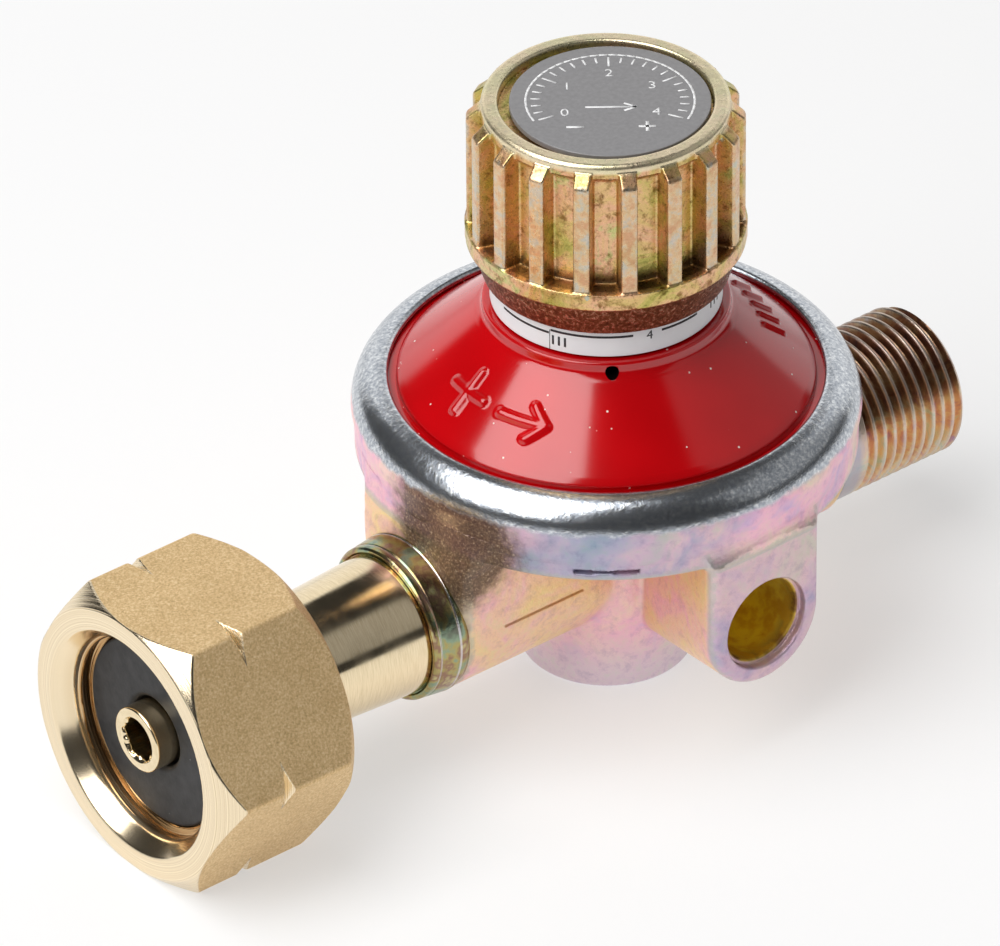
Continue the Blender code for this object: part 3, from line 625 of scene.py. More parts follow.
def dial_band():
    thick = 0.22
    outline = [
        (BAND_R - thick, BAND_LOW[2]),
        (BAND_R, BAND_LOW[2]),
        (BAND_R, BAND_HIGH[2]),
        (BAND_R - thick, BAND_HIGH[2]),
    ]
    ring = spun("dial_band_ring", soften(outline, 0.06, 3), 256)
    marks = Print()
    per_degree = math.radians(1) * BAND_R
    for step, number in enumerate("432"):
        angle = -107.5 - 98.5 * step
        marks.digits(number, 1.5, (angle * per_degree, -0.1))
        for start, end, shift in ((-8.5, -50.0, 0.18), (-51.0, -82.5, -0.2)):
            low, high = (angle + end) * per_degree, (angle + start) * per_degree
            marks.bar((low, shift), (high, shift), 0.27, 24)
        for tick in range(3):
            across = (angle - 50.0 + 3.2 * (tick + 0.4)) * per_degree
            marks.bar((across, -1.5), (across, -0.4), 0.24)
        seam = (angle - 50.5) * per_degree
        marks.bar((seam, -2.2), (seam, 0.2), 0.08)
    for tick in range(3):
        across = (-66.0 + 4.0 * tick) * per_degree
        marks.bar((across, -0.6), (across, 0.6), 0.24)
    marks.bar((-101.0 * per_degree, 0.18), (-78.6 * per_degree, 0.18), 0.27, 12)
    middle = (BAND_LOW[2] + BAND_HIGH[2]) / 2
    mesh = wrap(marks.mesh("dial_band_marks", 0.012), BAND_R + 0.001, 0.0, middle)
    return ring, link("dial_band_marks", mesh)


# ---------------------------------------------------------------- knob

KNOB_FLOOR_R = 12.3
KNOB_RIM_R = 12.9
KNOB_LUG_R = 14.4
KNOB_LUG_HALF = 0.85
KNOB_LUG_TOP = KNOB_TOP - 2.0
FLANGE_TOP = KNOB_TOP - 14.7
FLANGE_BOTTOM = KNOB_TOP - 16.7
SKIRT_BOTTOM = KNOB_LOW[2]
RECESS_FLOOR = KNOB_TOP - 1.2
KNOB_RECESS_R = 11.14
LABEL_TURN = -38.0
DIAL_START = 205
DIAL_SWEEP = 230


def knob_field(x, y, z):
    r = np.hypot(x, y)
    pitch = TURN / LUGS
    angle = np.arctan2(y, x) - math.radians(FIRST_LUG)
    folded = angle - pitch * np.round(angle / pitch)
    across = r * np.sin(folded)
    out = r * np.cos(folded)

    drum = meet(r - KNOB_FLOOR_R, z - KNOB_TOP, 0.5)
    rim = meet(r - KNOB_RIM_R, z - KNOB_TOP, 0.55)
    rim = np.maximum(rim, (KNOB_TOP - 1.5 - z) * 0.75 + (r - KNOB_RIM_R) * 0.6)
    lug_top = (z - KNOB_LUG_TOP) * 0.75 + (out - KNOB_LUG_R) * 0.66
    lug = meet(np.abs(across) - KNOB_LUG_HALF - 0.04 * (KNOB_LUG_R - out), out - KNOB_LUG_R, 0.28)
    lug = meet(lug, lug_top, 0.22)
    lug = np.maximum(lug, KNOB_FLOOR_R - 1.2 - r)
    lug = np.maximum(lug, z - KNOB_TOP + 0.9)
    flange = meet(r - KNOB_R, z - FLANGE_TOP, 0.25)
    flange = meet(flange, FLANGE_BOTTOM - z, 0.25)
    slope = (14.0 - 12.9) / (FLANGE_BOTTOM - SKIRT_BOTTOM)
    skirt = np.maximum(r - 12.9 - slope * (z - SKIRT_BOTTOM), z - FLANGE_TOP)
    skirt = meet(skirt, SKIRT_BOTTOM - z, 0.2)
    body = union(drum, rim, 0.35)
    body = np.maximum(body, FLANGE_BOTTOM + 0.5 - z)
    body = union(body, lug, 0.3)
    body = np.maximum(body, FLANGE_BOTTOM + 0.5 - z)
    body = union(body, flange, 0.45)
    body = union(body, skirt, 0.25)

    body = np.maximum(body, z - KNOB_TOP)
    body = remove(body, np.maximum(r - KNOB_RECESS_R, RECESS_FLOOR - z), 0.35)
    body = remove(body, np.maximum(r - 12.4, z - FLANGE_TOP + 0.2), 0.25)
    body = remove(body, np.maximum(r - 10.9, z - KNOB_TOP + 9.0), 0.25)
    relief = meet(r - 11.65, z - KNOB_TOP + 4.8, 0.6)
    return remove(body, np.maximum(relief, KNOB_TOP - 10.8 - z), 0.25)


def knob():
    reach = KNOB_R + 0.5
    low = (-reach, -reach, SKIRT_BOTTOM - 0.6)
    high = (reach, reach, KNOB_TOP + 0.6)
    return solid_of("knob_casting", knob_field, low, high, 0.2)


def knob_label():
    centre = (LABEL_LOW + LABEL_HIGH) / 2
    radius = (LABEL_HIGH[0] - LABEL_LOW[0]) / 2
    low, high = LABEL_LOW[2], LABEL_HIGH[2]
    outline = [(0, low), (radius, low), (radius, high), (0, high)]
    disc = spun("knob_label_disc", soften(outline, 0.12, 4), 192)
    disc.data.transform(Matrix.Translation((centre[0] * MM, centre[1] * MM, 0)))
    marks = Print()
    for step in range(25):
        degrees = DIAL_START - DIAL_SWEEP * step / 24
        marks.bar(polar(7.2 if step % 6 else 6.5, degrees), polar(8.2, degrees), 0.22)
    for number in range(5):
        marks.digits(str(number), 1.9, polar(5.2, DIAL_START - DIAL_SWEEP * number / 4))
    for step in range(36):
        degrees = DIAL_START - DIAL_SWEEP * step / 36
        marks.bar(polar(8.7, degrees), polar(8.7, DIAL_START - DIAL_SWEEP * (step + 1) / 36), 0.25)
    arrow = [((-2.6, -1.2), (2.6, -1.2)), ((1.4, -0.5), (2.7, -1.2)), ((1.4, -1.9), (2.7, -1.2))]
    signs = [((-4.6, -4.9), (-2.8, -4.9)), ((2.8, -4.9), (4.6, -4.9)), ((3.7, -5.8), (3.7, -4.0))]
    for bars, width in ((arrow, 0.3), (signs, 0.35)):
        for start, end in bars:
            marks.bar(start, end, width)
    mesh = marks.mesh("knob_label_marks", 0.012)
    turn = Matrix.Rotation(math.radians(LABEL_TURN), 4, "Z")
    mesh.transform(Matrix.Translation((centre[0], centre[1], high + 0.001)) @ turn)
    return disc, link("knob_label_marks", mesh)


# ---------------------------------------------------------------- union nut

NUT_FRONT, NUT_BACK = NUT_LOW[0], NUT_HIGH[0]
NUT_AXIS_Z = (NUT_LOW[2] + NUT_HIGH[2]) / 2
NUT_APOTHEM = (NUT_HIGH[2] - NUT_LOW[2]) / 2
NUT_FACE_R = 15.0
NUT_BORE_R = 10.8
NUT_MOUTH_R = 12.7
NUT_PITCH = 25.4 / 14
NUT_NOTCH_R = 15.95
NUT_NOTCH_X = NUT_FRONT + 7.9
NUT_NOTCH_SLOPE = 1.9


def nut_field(x, y, z):
    up = z - NUT_AXIS_Z
    r = np.hypot(y, up)
    sector = TURN / 6
    angle = np.arctan2(up, y)
    from_flat = np.abs(angle - sector * (np.floor(angle / sector) + 0.5))
    flat = r * np.cos(from_flat) - NUT_APOTHEM
    next_flat = r * np.cos(sector - from_flat) - NUT_APOTHEM
    body = meet(flat, next_flat, 0.3)
    middle = (NUT_FRONT + NUT_BACK) / 2
    ends = np.abs(x - middle) - (NUT_BACK - NUT_FRONT) / 2
    body = meet(body, (r - NUT_FACE_R + ends) * math.sqrt(0.5), 0.12)
    body = meet(body, ends, 0.2)
    notch = (np.abs(x - NUT_NOTCH_X) * NUT_NOTCH_SLOPE + NUT_NOTCH_R - r) * 0.5
    body = remove(body, notch, 0.1)
    bore = np.maximum(r - NUT_BORE_R - 0.45, x - NUT_BACK + 3.0)
    body = remove(body, bore, 0.3)
    flare = (NUT_MOUTH_R - NUT_BORE_R) / 2.5
    body = remove(body, (r - NUT_MOUTH_R + (x - NUT_FRONT) * flare) * 0.8, 0.25)
    return remove(body, r - 7.6, 0.3)


def union_nut():
    low = (NUT_FRONT - 0.6, NUT_LOW[1] - 0.6, NUT_LOW[2] - 0.6)
    high = (NUT_BACK + 0.6, NUT_HIGH[1] + 0.6, NUT_HIGH[2] + 0.6)
    return solid_of("union_nut_body", nut_field, low, high, 0.22)


def nut_thread():
    """The left-hand inside thread, as a sleeve let into the nut's wall."""
    outer, start, end = NUT_BORE_R + 0.9, 3.4, NUT_BACK - NUT_FRONT - 2.4

    def radius(h, phase):
        depth = 1.0 * rounded_thread(phase, 0.12, 0.2)
        lead = np.clip((h - start) / 1.2, 0, 1) * np.clip((end - h) / 1.2, 0, 1)
        return NUT_BORE_R - 0.25 + depth + 0.6 * (1 - lead)

    closing = [(outer, end), (outer, start)]
    return threaded(
        "union_nut_thread",
        start,
        end,
        NUT_PITCH,
        radius,
        closing,
        (-1, 0, 0),
        128,
        14,
        hand=-1,
        shift=-NUT_BACK,
    )


# ---------------------------------------------------------------- inlet nipple and seal

TIP_R = 3.62
TIP_BORE_R = 2.28


def inlet_nipple():
    tip, back = -NIPPLE_LOW[0], COLLAR_END - 0.2
    outline = [
        (2.5, -NIPPLE_HIGH[0]),
        (5.7, -NIPPLE_HIGH[0]),
        (5.7, back),
        (NECK_BACK_R, back),
        (NECK_BACK_R, back + 0.6),
        (NECK_FRONT_R, -NUT_BACK),
        (NECK_FRONT_R, 53.4),
        (9.4, 53.4),
        (9.4, 57.4),
        (TIP_R + 0.5, 57.4),
        (TIP_R, 57.9),
        (TIP_R, tip, 0.35),
        (TIP_BORE_R + 0.35, tip, 0.15),
        (TIP_BORE_R, tip - 0.4, 0.2),
        (TIP_BORE_R, tip - 3.5),
        (2.5, tip - 4.0),
    ]

    def lobed(r, angles, h):
        """The tip's bore is a six-lobed socket."""
        depth = np.clip((h - tip + 4.0) / 0.6, 0, 1) * (r < TIP_BORE_R + 0.2)
        return r + 0.2 * depth * np.cos(6 * angles) ** 3

    return spun("inlet_nipple_body", soften(outline, 0.2, 4), 240, axis=(-1, 0, 0), shape=lobed)


def inlet_seal():
    front = -SEAL_LOW[0]
    outline = [
        (TIP_R + 0.3, front - 2.3),
        (SEAL_HIGH[1], front - 2.3),
        (SEAL_HIGH[1], front, 0.35),
        (TIP_R + 0.75, front, 0.2),
        (TIP_R + 0.3, front - 0.4),
    ]
    return spun("inlet_seal_ring", soften(outline, 0.15, 4), 192, axis=(-1, 0, 0))


# ---------------------------------------------------------------- finishes

def give(tree, socket, value):
    """Sets a socket to a fixed value, or links a Value to it."""
    if isinstance(value, Value):
        tree.links.new(value.socket, socket)
    else:
        socket.default_value = value


def calculated(tree, operation, *values):
    made = tree.nodes.new("ShaderNodeMath")
    made.operation = operation
    for socket, value in zip(made.inputs, values):
        give(tree, socket, value)
    return Value(tree, made.outputs[0])


class Value:
    """A node's output. Plain arithmetic on it adds Math nodes to its tree."""

    __array_ufunc__ = None

    def __init__(self, tree, socket):
        self.tree = tree
        self.socket = socket

    def __add__(self, other):
        return calculated(self.tree, "ADD", self, other)

    def __sub__(self, other):
        return calculated(self.tree, "SUBTRACT", self, other)

    def __rsub__(self, other):
        return calculated(self.tree, "SUBTRACT", other, self)

    def __mul__(self, other):
        return calculated(self.tree, "MULTIPLY", self, other)

    def __truediv__(self, other):
        return calculated(self.tree, "DIVIDE", self, other)

    def __abs__(self):
        return calculated(self.tree, "ABSOLUTE", self)

    def most(self, other):
        return calculated(self.tree, "MAXIMUM", self, other)


def length(*values):
    """The root of the sum of squares."""
    total = values[0] * values[0]
    for value in values[1:]:
        total = total + value * value
    return calculated(total.tree, "SQRT", total)


def ahead_and_side(x, y, azimuth):
    """Coordinates along and across a level direction."""
    turn = math.radians(azimuth)
    return x * math.cos(turn) + y * math.sin(turn), y * math.cos(turn) - x * math.sin(turn)


class Finish:
    """A Principled material whose colour, roughness and bump are built from node values."""

    def __init__(self, name, colour=(0.5, 0.5, 0.5), roughness=0.4, metallic=0.0, **sockets):
        self.material = bpy.data.materials.new(name)
        self.material.use_nodes = True
        self.tree = self.material.node_tree
        self.shader = self.tree.nodes["Principled BSDF"]
        self.set("Base Color", (*colour, 1))
        self.set("Roughness", roughness)
        self.set("Metallic", metallic)
        for socket, value in sockets.items():
            self.set(socket.replace("_", " "), value)
        self.place = self.output(self.node("ShaderNodeTexCoord"), "Object")
        self.bumped = None

    def node(self, kind, inputs=(), **values):
        """A new node with its properties set, and then its inputs given by name."""
        made = self.tree.nodes.new(kind)
        for key, value in values.items():
            setattr(made, key, value)
        for name, value in dict(inputs).items():
            give(self.tree, made.inputs[name], value)
        return made

    def output(self, node, name):
        return Value(self.tree, node.outputs[name])

    def set(self, socket, value):
        """A fixed value, or a link from another node's output."""
        give(self.tree, self.shader.inputs[socket], value)

    def scaled(self, sizes):
        """Object coordinates in millimetres, stretched by dividing each axis by a size."""
        scale = [1 / (MM * s) for s in sizes]
        return self.output(self.node("ShaderNodeMapping", {"Scale": scale, "Vector": self.place}), "Vector")

    def noise(self, size, detail=3.0, roughness=0.55, distortion=0.0, stretch=(1, 1, 1)):
        inputs = {"Scale": 1.0, "Detail": detail, "Roughness": roughness, "Distortion": distortion}
        inputs["Vector"] = self.scaled([size * s for s in stretch])
        return self.output(self.node("ShaderNodeTexNoise", inputs), "Fac")

    def dots(self, size, low, high):
        """Small round specks, one in each cell of the given size."""
        inputs = {"Scale": 1.0, "Vector": self.scaled([size] * 3)}
        return self.between(self.output(self.node("ShaderNodeTexVoronoi", inputs), "Distance"), low, high)

    def between(self, value, low, high, to_low=0.0, to_high=1.0):
        inputs = {"Value": value, "From Min": low, "From Max": high, "To Min": to_low, "To Max": to_high}
        made = self.node("ShaderNodeMapRange", inputs, clamp=True, interpolation_type="SMOOTHSTEP")
        return self.output(made, "Result")

    def ramp(self, value, stops):
        made = self.node("ShaderNodeValToRGB", {"Fac": value})
        elements = made.color_ramp.elements
        while len(elements) < len(stops):
            elements.new(0.5)
        for element, (position, colour) in zip(elements, stops):
            element.position = position
            element.color = (*colour, 1)
        return self.output(made, "Color")

    def mix(self, share, a, b, blend="MIX"):
        made = self.node("ShaderNodeMix", data_type="RGBA", blend_type=blend)
        give(self.tree, made.inputs[0], share)
        for socket, value in ((made.inputs[6], a), (made.inputs[7], b)):
            give(self.tree, socket, value if isinstance(value, Value) else (*value, 1))
        return Value(self.tree, made.outputs[2])

    def axis(self, name):
        """One object coordinate in millimetres."""
        return self.output(self.node("ShaderNodeSeparateXYZ", {"Vector": self.place}), name) / MM

    def from_axis_x(self):
        """Distance from the ports' axis, in millimetres."""
        return length(self.axis("Y"), self.axis("Z") - PORT_Z)

    def from_axis_z(self):
        return length(self.axis("X"), self.axis("Y"))

    def bump(self, height, depth):
        """Adds relief: a height of 0 to 1 stands for a depth in millimetres."""
        made = self.node("ShaderNodeBump", {"Distance": depth * MM, "Height": height})
        if self.bumped:
            give(self.tree, made.inputs["Normal"], self.bumped)
        self.bumped = self.output(made, "Normal")
        self.set("Normal", self.bumped)

    def use(self, obj):
        obj.data.materials.clear()
        obj.data.materials.append(self.material)


def chromate_colour(finish):
    """Patches of the colours that a passivated zinc casting shows, by place, over a fine mottle."""
    patches = finish.noise(7.0, 3.0, 0.6, 0.6)
    lilac = [
        (0.3, (0.32, 0.42, 0.52)),
        (0.45, (0.46, 0.46, 0.6)),
        (0.58, (0.66, 0.5, 0.62)),
        (0.72, (0.5, 0.56, 0.52)),
    ]
    pink = [
        (0.28, (0.7, 0.5, 0.74)),
        (0.42, (0.98, 0.58, 0.7)),
        (0.55, (1.0, 0.7, 0.66)),
        (0.7, (0.88, 0.74, 0.6)),
    ]
    orange = [
        (0.28, (1.0, 0.56, 0.66)),
        (0.42, (1.0, 0.68, 0.5)),
        (0.6, (1.0, 0.75, 0.38)),
        (0.74, (1.0, 0.62, 0.58)),
    ]
    x, y, z = (finish.axis(name) for name in "XYZ")
    facing = x * 0.643 + y * 0.766
    wander = finish.noise(6.0, 3.0) * 8.0
    front = finish.between(facing + wander, -17.0, -23.0)
    colour = finish.mix(front, finish.ramp(patches, pink), finish.ramp(patches, lilac))
    below = finish.between(z, DRUM_BOTTOM + 0.4, DRUM_BOTTOM - 0.1)
    outside = finish.between(finish.from_axis_z(), 9.6, 11.5)
    colour = finish.mix(below * outside, colour, finish.ramp(patches, orange))
    boss = below * (1.0 - outside)
    under = finish.mix(finish.between(z, 9.0, 1.0), finish.ramp(patches, pink), (0.84, 0.72, 0.80))
    colour = finish.mix(boss, colour, under)
    face = below * finish.between(y, 1.6 - GAUGE_FACE, 0.6 - GAUGE_FACE)
    colour = finish.mix(
        face, colour, finish.mix(0.5, finish.ramp(patches, pink), finish.ramp(patches, lilac))
    )
    fine = finish.noise(1.3, 5.0, 0.7, 0.2)
    tint = finish.ramp(
        fine,
        [
            (0.28, (0.66, 0.6, 0.74)),
            (0.5, (1.0, 0.94, 0.96)),
            (0.66, (0.9, 1.0, 0.88)),
            (0.8, (1.0, 0.86, 0.7)),
        ],
    )
    return finish.mix(0.65, colour, tint, "MULTIPLY")


def worn(finish, colour, low, high):
    """Grey-green wear along the raised edges."""
    edge = finish.output(finish.node("ShaderNodeNewGeometry"), "Pointiness")
    rough = (finish.noise(0.9, 4.0, 0.7) - 0.5) * 0.06
    share = finish.between(edge + rough, low, high)
    return finish.mix(share * 0.85, colour, (0.46, 0.5, 0.42))


def tarnish(finish, colour):
    """Painted shade: dark brown, flecked, in the crook above the collar."""
    away = length(*(finish.axis(name) - middle for name, middle in zip("XYZ", (-26.5, -6.0, 27.5))))
    distance = away + finish.noise(2.2, 4.0, 0.65) * 5.0
    share = finish.between(distance, 12.5, 9.0)
    flecks = finish.ramp(
        finish.noise(0.3, 3.0, 0.8),
        [(0.4, (0.08, 0.045, 0.03)), (0.6, (0.24, 0.15, 0.085)), (0.74, (0.85, 0.74, 0.56))],
    )
    return finish.mix(share * 0.92, colour, flecks)


def cast_zinc():
    """Passivated zinc. The gauge port's bore is olive yellow, with painted shade on its walls near the mouth
    and a painted highlight on its deep floor.
    """
    finish = Finish("cast_zinc_chromate", roughness=0.36, metallic=0.6)
    x, z = finish.axis("X"), finish.axis("Z")
    rise = z - GAUGE_Z
    about = length(x, rise)
    depth = finish.axis("Y") + GAUGE_FACE
    rim = about * finish.between(rise, 0.5, -0.5)
    rim = abs(x).most(rim)
    ragged = (finish.noise(0.9, 4.0, 0.7) - 0.5) * 1.6
    rim = finish.between(rim + ragged, GAUGE_HALF_WIDTH - 0.5, GAUGE_HALF_WIDTH)
    edges = rim * finish.between(depth, 1.5, 0.7)
    end = finish.between(x + ragged, 0.7 - ARM_END, 0.1 - ARM_END)
    end = end * finish.between(finish.axis("Y"), 2.0, -2.0)
    end = end * finish.between(z, DRUM_BOTTOM, DRUM_BOTTOM - 1.0)
    low_edge = finish.between(z + ragged, DRUM_BOTTOM + 0.9, DRUM_BOTTOM + 0.3)
    low_edge = low_edge * finish.between(finish.from_axis_z(), DRUM_R - 2.0, DRUM_R - 1.5)
    low_edge = low_edge * finish.between(z, DRUM_BOTTOM - 0.4, DRUM_BOTTOM - 0.2)
    edges = edges.most(end).most(low_edge)
    colour = finish.mix(edges * 0.55, chromate_colour(finish), (0.5, 0.53, 0.46))
    # Painted shade in the crook above the collar.
    colour = tarnish(finish, colour)
    # Painted shade and painted highlight in the gauge port's bore: dark brown near the mouth, bright yellow
    # deep inside, over olive patches.
    bore = finish.between(about, 5.0, 4.85) * finish.between(depth, 0.9, 1.1)
    bore = bore * finish.between(depth, 10.2, 9.8)
    deep = finish.mix(finish.between(depth, 1.0, 3.5), (0.22, 0.10, 0.03), (1.0, 0.84, 0.13))
    deep = finish.mix(finish.between(finish.noise(2.5, 3.0), 0.40, 0.62), deep, (0.75, 0.50, 0.06))
    finish.set("Base Color", finish.mix(bore, colour, deep))
    grain = finish.noise(0.5, 4.0, 0.7)
    finish.set("Roughness", finish.between(grain, 0.3, 0.7, 0.28, 0.5))
    finish.bump(grain, 0.09)
    finish.bump(finish.noise(3.0, 2.0), 0.08)
    return finish


def lip_metal():
    """Burnished zinc on the rolled lip, chromate below it."""
    finish = Finish("lip_burnished_zinc", roughness=0.2, metallic=0.9)
    edge = finish.axis("Z") + finish.noise(2.0, 4.0) * 1.4
    silver = finish.between(edge, STEP_Z + 3.1, STEP_Z + 3.8)
    sparkle = finish.noise(0.45, 4.0, 0.75)
    grey = finish.ramp(
        sparkle, [(0.3, (0.28, 0.31, 0.36)), (0.5, (0.5, 0.53, 0.57)), (0.68, (0.84, 0.86, 0.87))]
    )
    # The chromate below the silver also carries the painted shade of the crook above the collar.
    finish.set("Base Color", finish.mix(silver, tarnish(finish, chromate_colour(finish)), grey))
    smooth = finish.between(sparkle, 0.3, 0.75, 0.26, 0.12)
    finish.set("Roughness", finish.mix(silver, (0.38, 0.38, 0.38), smooth))
    finish.set("Metallic", finish.between(silver, 0, 1, 0.6, 0.95))
    finish.bump(sparkle, 0.022)
    finish.bump(finish.noise(2.2, 3.0, 0.6), 0.06)
    return finish


def collar_metal():
    """Dark iridescent zinc with two bare rings near the end."""
    finish = Finish("collar_iridescent_zinc", roughness=0.22, metallic=1.0)
    patches = finish.noise(3.4, 3.0, 0.6, 0.2)
    colour = finish.ramp(
        patches,
        [
            (0.30, (0.16, 0.17, 0.13)),
            (0.40, (0.27, 0.36, 0.25)),
            (0.48, (0.42, 0.36, 0.14)),
            (0.56, (0.30, 0.17, 0.12)),
            (0.64, (0.60, 0.55, 0.26)),
            (0.74, (0.48, 0.34, 0.50)),
        ],
    )
    along = finish.axis("X") + COLLAR_END
    for middle in (0.85, 3.2):
        ring = finish.between(abs(along - middle), 0.16, 0.08)
        colour = finish.mix(ring * 0.6, colour, (0.8, 0.76, 0.8))
    finish.set("Base Color", colour)
    finish.bump(finish.noise(0.5, 3.0), 0.02)
    return finish


def thread_metal():
    """Dark brown towards the top, warm and iridescent towards the bottom, with bare crests."""
    finish = Finish("outlet_thread_zinc", roughness=0.28, metallic=1.0)
    patches = finish.noise(3.0, 4.0, 0.65, 0.8)
    dark = finish.ramp(
        patches,
        [
            (0.3, (0.15, 0.1, 0.1)),
            (0.48, (0.3, 0.16, 0.1)),
            (0.62, (0.4, 0.28, 0.17)),
            (0.75, (0.3, 0.26, 0.28)),
        ],
    )
    warm = finish.ramp(
        patches,
        [
            (0.3, (0.5, 0.3, 0.4)),
            (0.42, (0.76, 0.46, 0.3)),
            (0.52, (0.84, 0.62, 0.36)),
            (0.6, (0.7, 0.66, 0.5)),
            (0.7, (0.38, 0.54, 0.34)),
        ],
    )
    height = finish.axis("Z") + finish.noise(3.0, 3.0) * 5.0
    colour = finish.mix(finish.between(height, PORT_Z + 8.0, PORT_Z + 3.0), dark, warm)
    crest = finish.between(finish.from_axis_x(), OUTLET_R - 0.22, OUTLET_R - 0.06)
    colour = finish.mix(crest * 0.55, colour, (0.62, 0.56, 0.5))
    plain = finish.between(finish.axis("X"), 28.6, 27.6)
    colour = finish.mix(plain * 0.7, colour, (0.42, 0.42, 0.52))
    finish.set("Base Color", colour)
    finish.bump(finish.noise(0.4, 3.0, 0.7), 0.04)
    return finish


def red_enamel():
    """Glossy red enamel with specks of dust in it; the vent's bore is painted near-black as painted shade."""
    finish = Finish(
        "bonnet_red_enamel", roughness=0.3, Coat_Roughness=0.13, Coat_IOR=1.65, Specular_IOR_Level=0.0
    )
    close = finish.dots(1.5, 0.10, 0.06)
    chosen = finish.between(finish.noise(4.0, 2.0), 0.50, 0.56)
    dust = close * chosen
    shade = finish.ramp(finish.noise(14.0, 2.0), [(0.3, (0.47, 0.0, 0.002)), (0.7, (0.60, 0.001, 0.004))])
    colour = finish.mix(dust, shade, (0.9, 0.80, 0.72))
    # Painted shade: the vent's bore is near-black and has no coat.
    out, side = ahead_and_side(finish.axis("X"), finish.axis("Y"), VENT_AZIMUTH)
    vent = finish.between(length(side, finish.axis("Z") - VENT_Z), VENT_R + 0.06, VENT_R + 0.02)
    vent = vent * finish.between(out, 7.0, 8.0)
    finish.set("Base Color", finish.mix(vent, colour, (0.004, 0.002, 0.002)))
    finish.set("Coat Weight", finish.between(vent, 0, 1, 1.0, 0.0))
    finish.set("Roughness", dust * 0.5 + 0.3)
    finish.bump(finish.noise(1.1, 2.0, 0.4), 0.010)
    return finish


def band_print():
    finish = Finish("band_white_print", (0.9, 0.91, 0.92), 0.42)
    finish.set(
        "Base Color",
        finish.ramp(finish.noise(6.0, 3.0), [(0.3, (0.84, 0.85, 0.87)), (0.7, (0.93, 0.94, 0.95))]),
    )
    finish.bump(finish.noise(0.5, 2.0), 0.008)
    return finish


def ink(name, colour):
    finish = Finish(name, colour, 0.5)
    lighter = tuple(min(1.0, c * 1.35 + 0.01) for c in colour)
    finish.set("Base Color", finish.ramp(finish.noise(0.8, 3.0), [(0.3, colour), (0.75, lighter)]))
    return finish


def yellow_zinc():
    """Yellow passivation: mottled olive and pink, worn to bare metal on the edges that hands touch."""
    finish = Finish("knob_yellow_zinc", roughness=0.3, metallic=0.92)
    patches = finish.noise(5.5, 4.0, 0.65, 0.9)
    base = finish.ramp(
        patches,
        [
            (0.28, (0.34, 0.34, 0.08)),
            (0.40, (0.56, 0.48, 0.14)),
            (0.50, (0.74, 0.50, 0.22)),
            (0.60, (0.80, 0.46, 0.28)),
            (0.70, (0.58, 0.58, 0.24)),
        ],
    )
    specks = finish.noise(0.45, 4.0, 0.75)
    stains = finish.ramp(finish.noise(1.3, 5.0, 0.75), [(0.34, (0.40, 0.34, 0.24)), (0.48, (1, 1, 1))])
    base = finish.mix(1.0, base, stains, "MULTIPLY")
    base = finish.mix(
        1.0, base, finish.ramp(specks, [(0.3, (0.45, 0.4, 0.32)), (0.44, (1, 1, 1))]), "MULTIPLY"
    )
    worn_part = finish.between(finish.from_axis_z(), KNOB_LUG_R - 0.45, KNOB_LUG_R - 0.1)
    above = finish.between(finish.axis("Z"), FLANGE_TOP, FLANGE_TOP + 0.4)
    rubbed = finish.ramp(
        finish.noise(1.6, 4.0, 0.7),
        [(0.38, (0.62, 0.34, 0.2)), (0.5, (0.72, 0.52, 0.32)), (0.62, (0.56, 0.55, 0.5))],
    )
    base = finish.mix(worn_part * above * 0.8, base, rubbed)
    base = worn(finish, base, 0.54, 0.58)
    # Painted shade: dark brown at the bottom of the pockets between the lugs, just above the flange.
    foot = finish.between(finish.axis("Z"), FLANGE_TOP + 1.6, FLANGE_TOP + 0.3)
    foot = foot * finish.between(finish.from_axis_z(), KNOB_LUG_R - 0.3, KNOB_LUG_R - 0.7)
    foot = foot * finish.between(finish.axis("Z"), FLANGE_TOP - 0.6, FLANGE_TOP - 0.2)
    base = finish.mix(foot * 0.75, base, (0.16, 0.08, 0.03))
    crown = finish.between(finish.axis("Z"), KNOB_TOP - 1.1, KNOB_TOP - 0.7)
    base = finish.mix(crown * 0.7, base, (0.86, 0.8, 0.58))
    # Painted shade: the skirt under the flange is dark brown, with lighter specks.
    low = finish.between(finish.axis("Z"), FLANGE_BOTTOM + 0.3, FLANGE_BOTTOM - 0.1)
    skirt_shade_with_specks = finish.ramp(
        specks, [(0.35, (0.09, 0.035, 0.015)), (0.52, (0.22, 0.09, 0.035)), (0.66, (0.6, 0.44, 0.28))]
    )
    base = finish.mix(low, base, skirt_shade_with_specks)
    finish.set("Base Color", base)
    finish.set("Roughness", finish.between(specks, 0.3, 0.7, 0.38, 0.24))
    finish.bump(specks, 0.035)
    finish.bump(finish.noise(2.4, 3.0), 0.06)
    return finish


def foil_grey():
    finish = Finish("label_grey_foil", (0.27, 0.265, 0.27), 0.42, 0.25)
    finish.set(
        "Base Color",
        finish.ramp(finish.noise(0.5, 3.0), [(0.3, (0.245, 0.24, 0.245)), (0.7, (0.29, 0.285, 0.29))]),
    )
    finish.bump(finish.noise(0.3, 2.0), 0.006)
    return finish


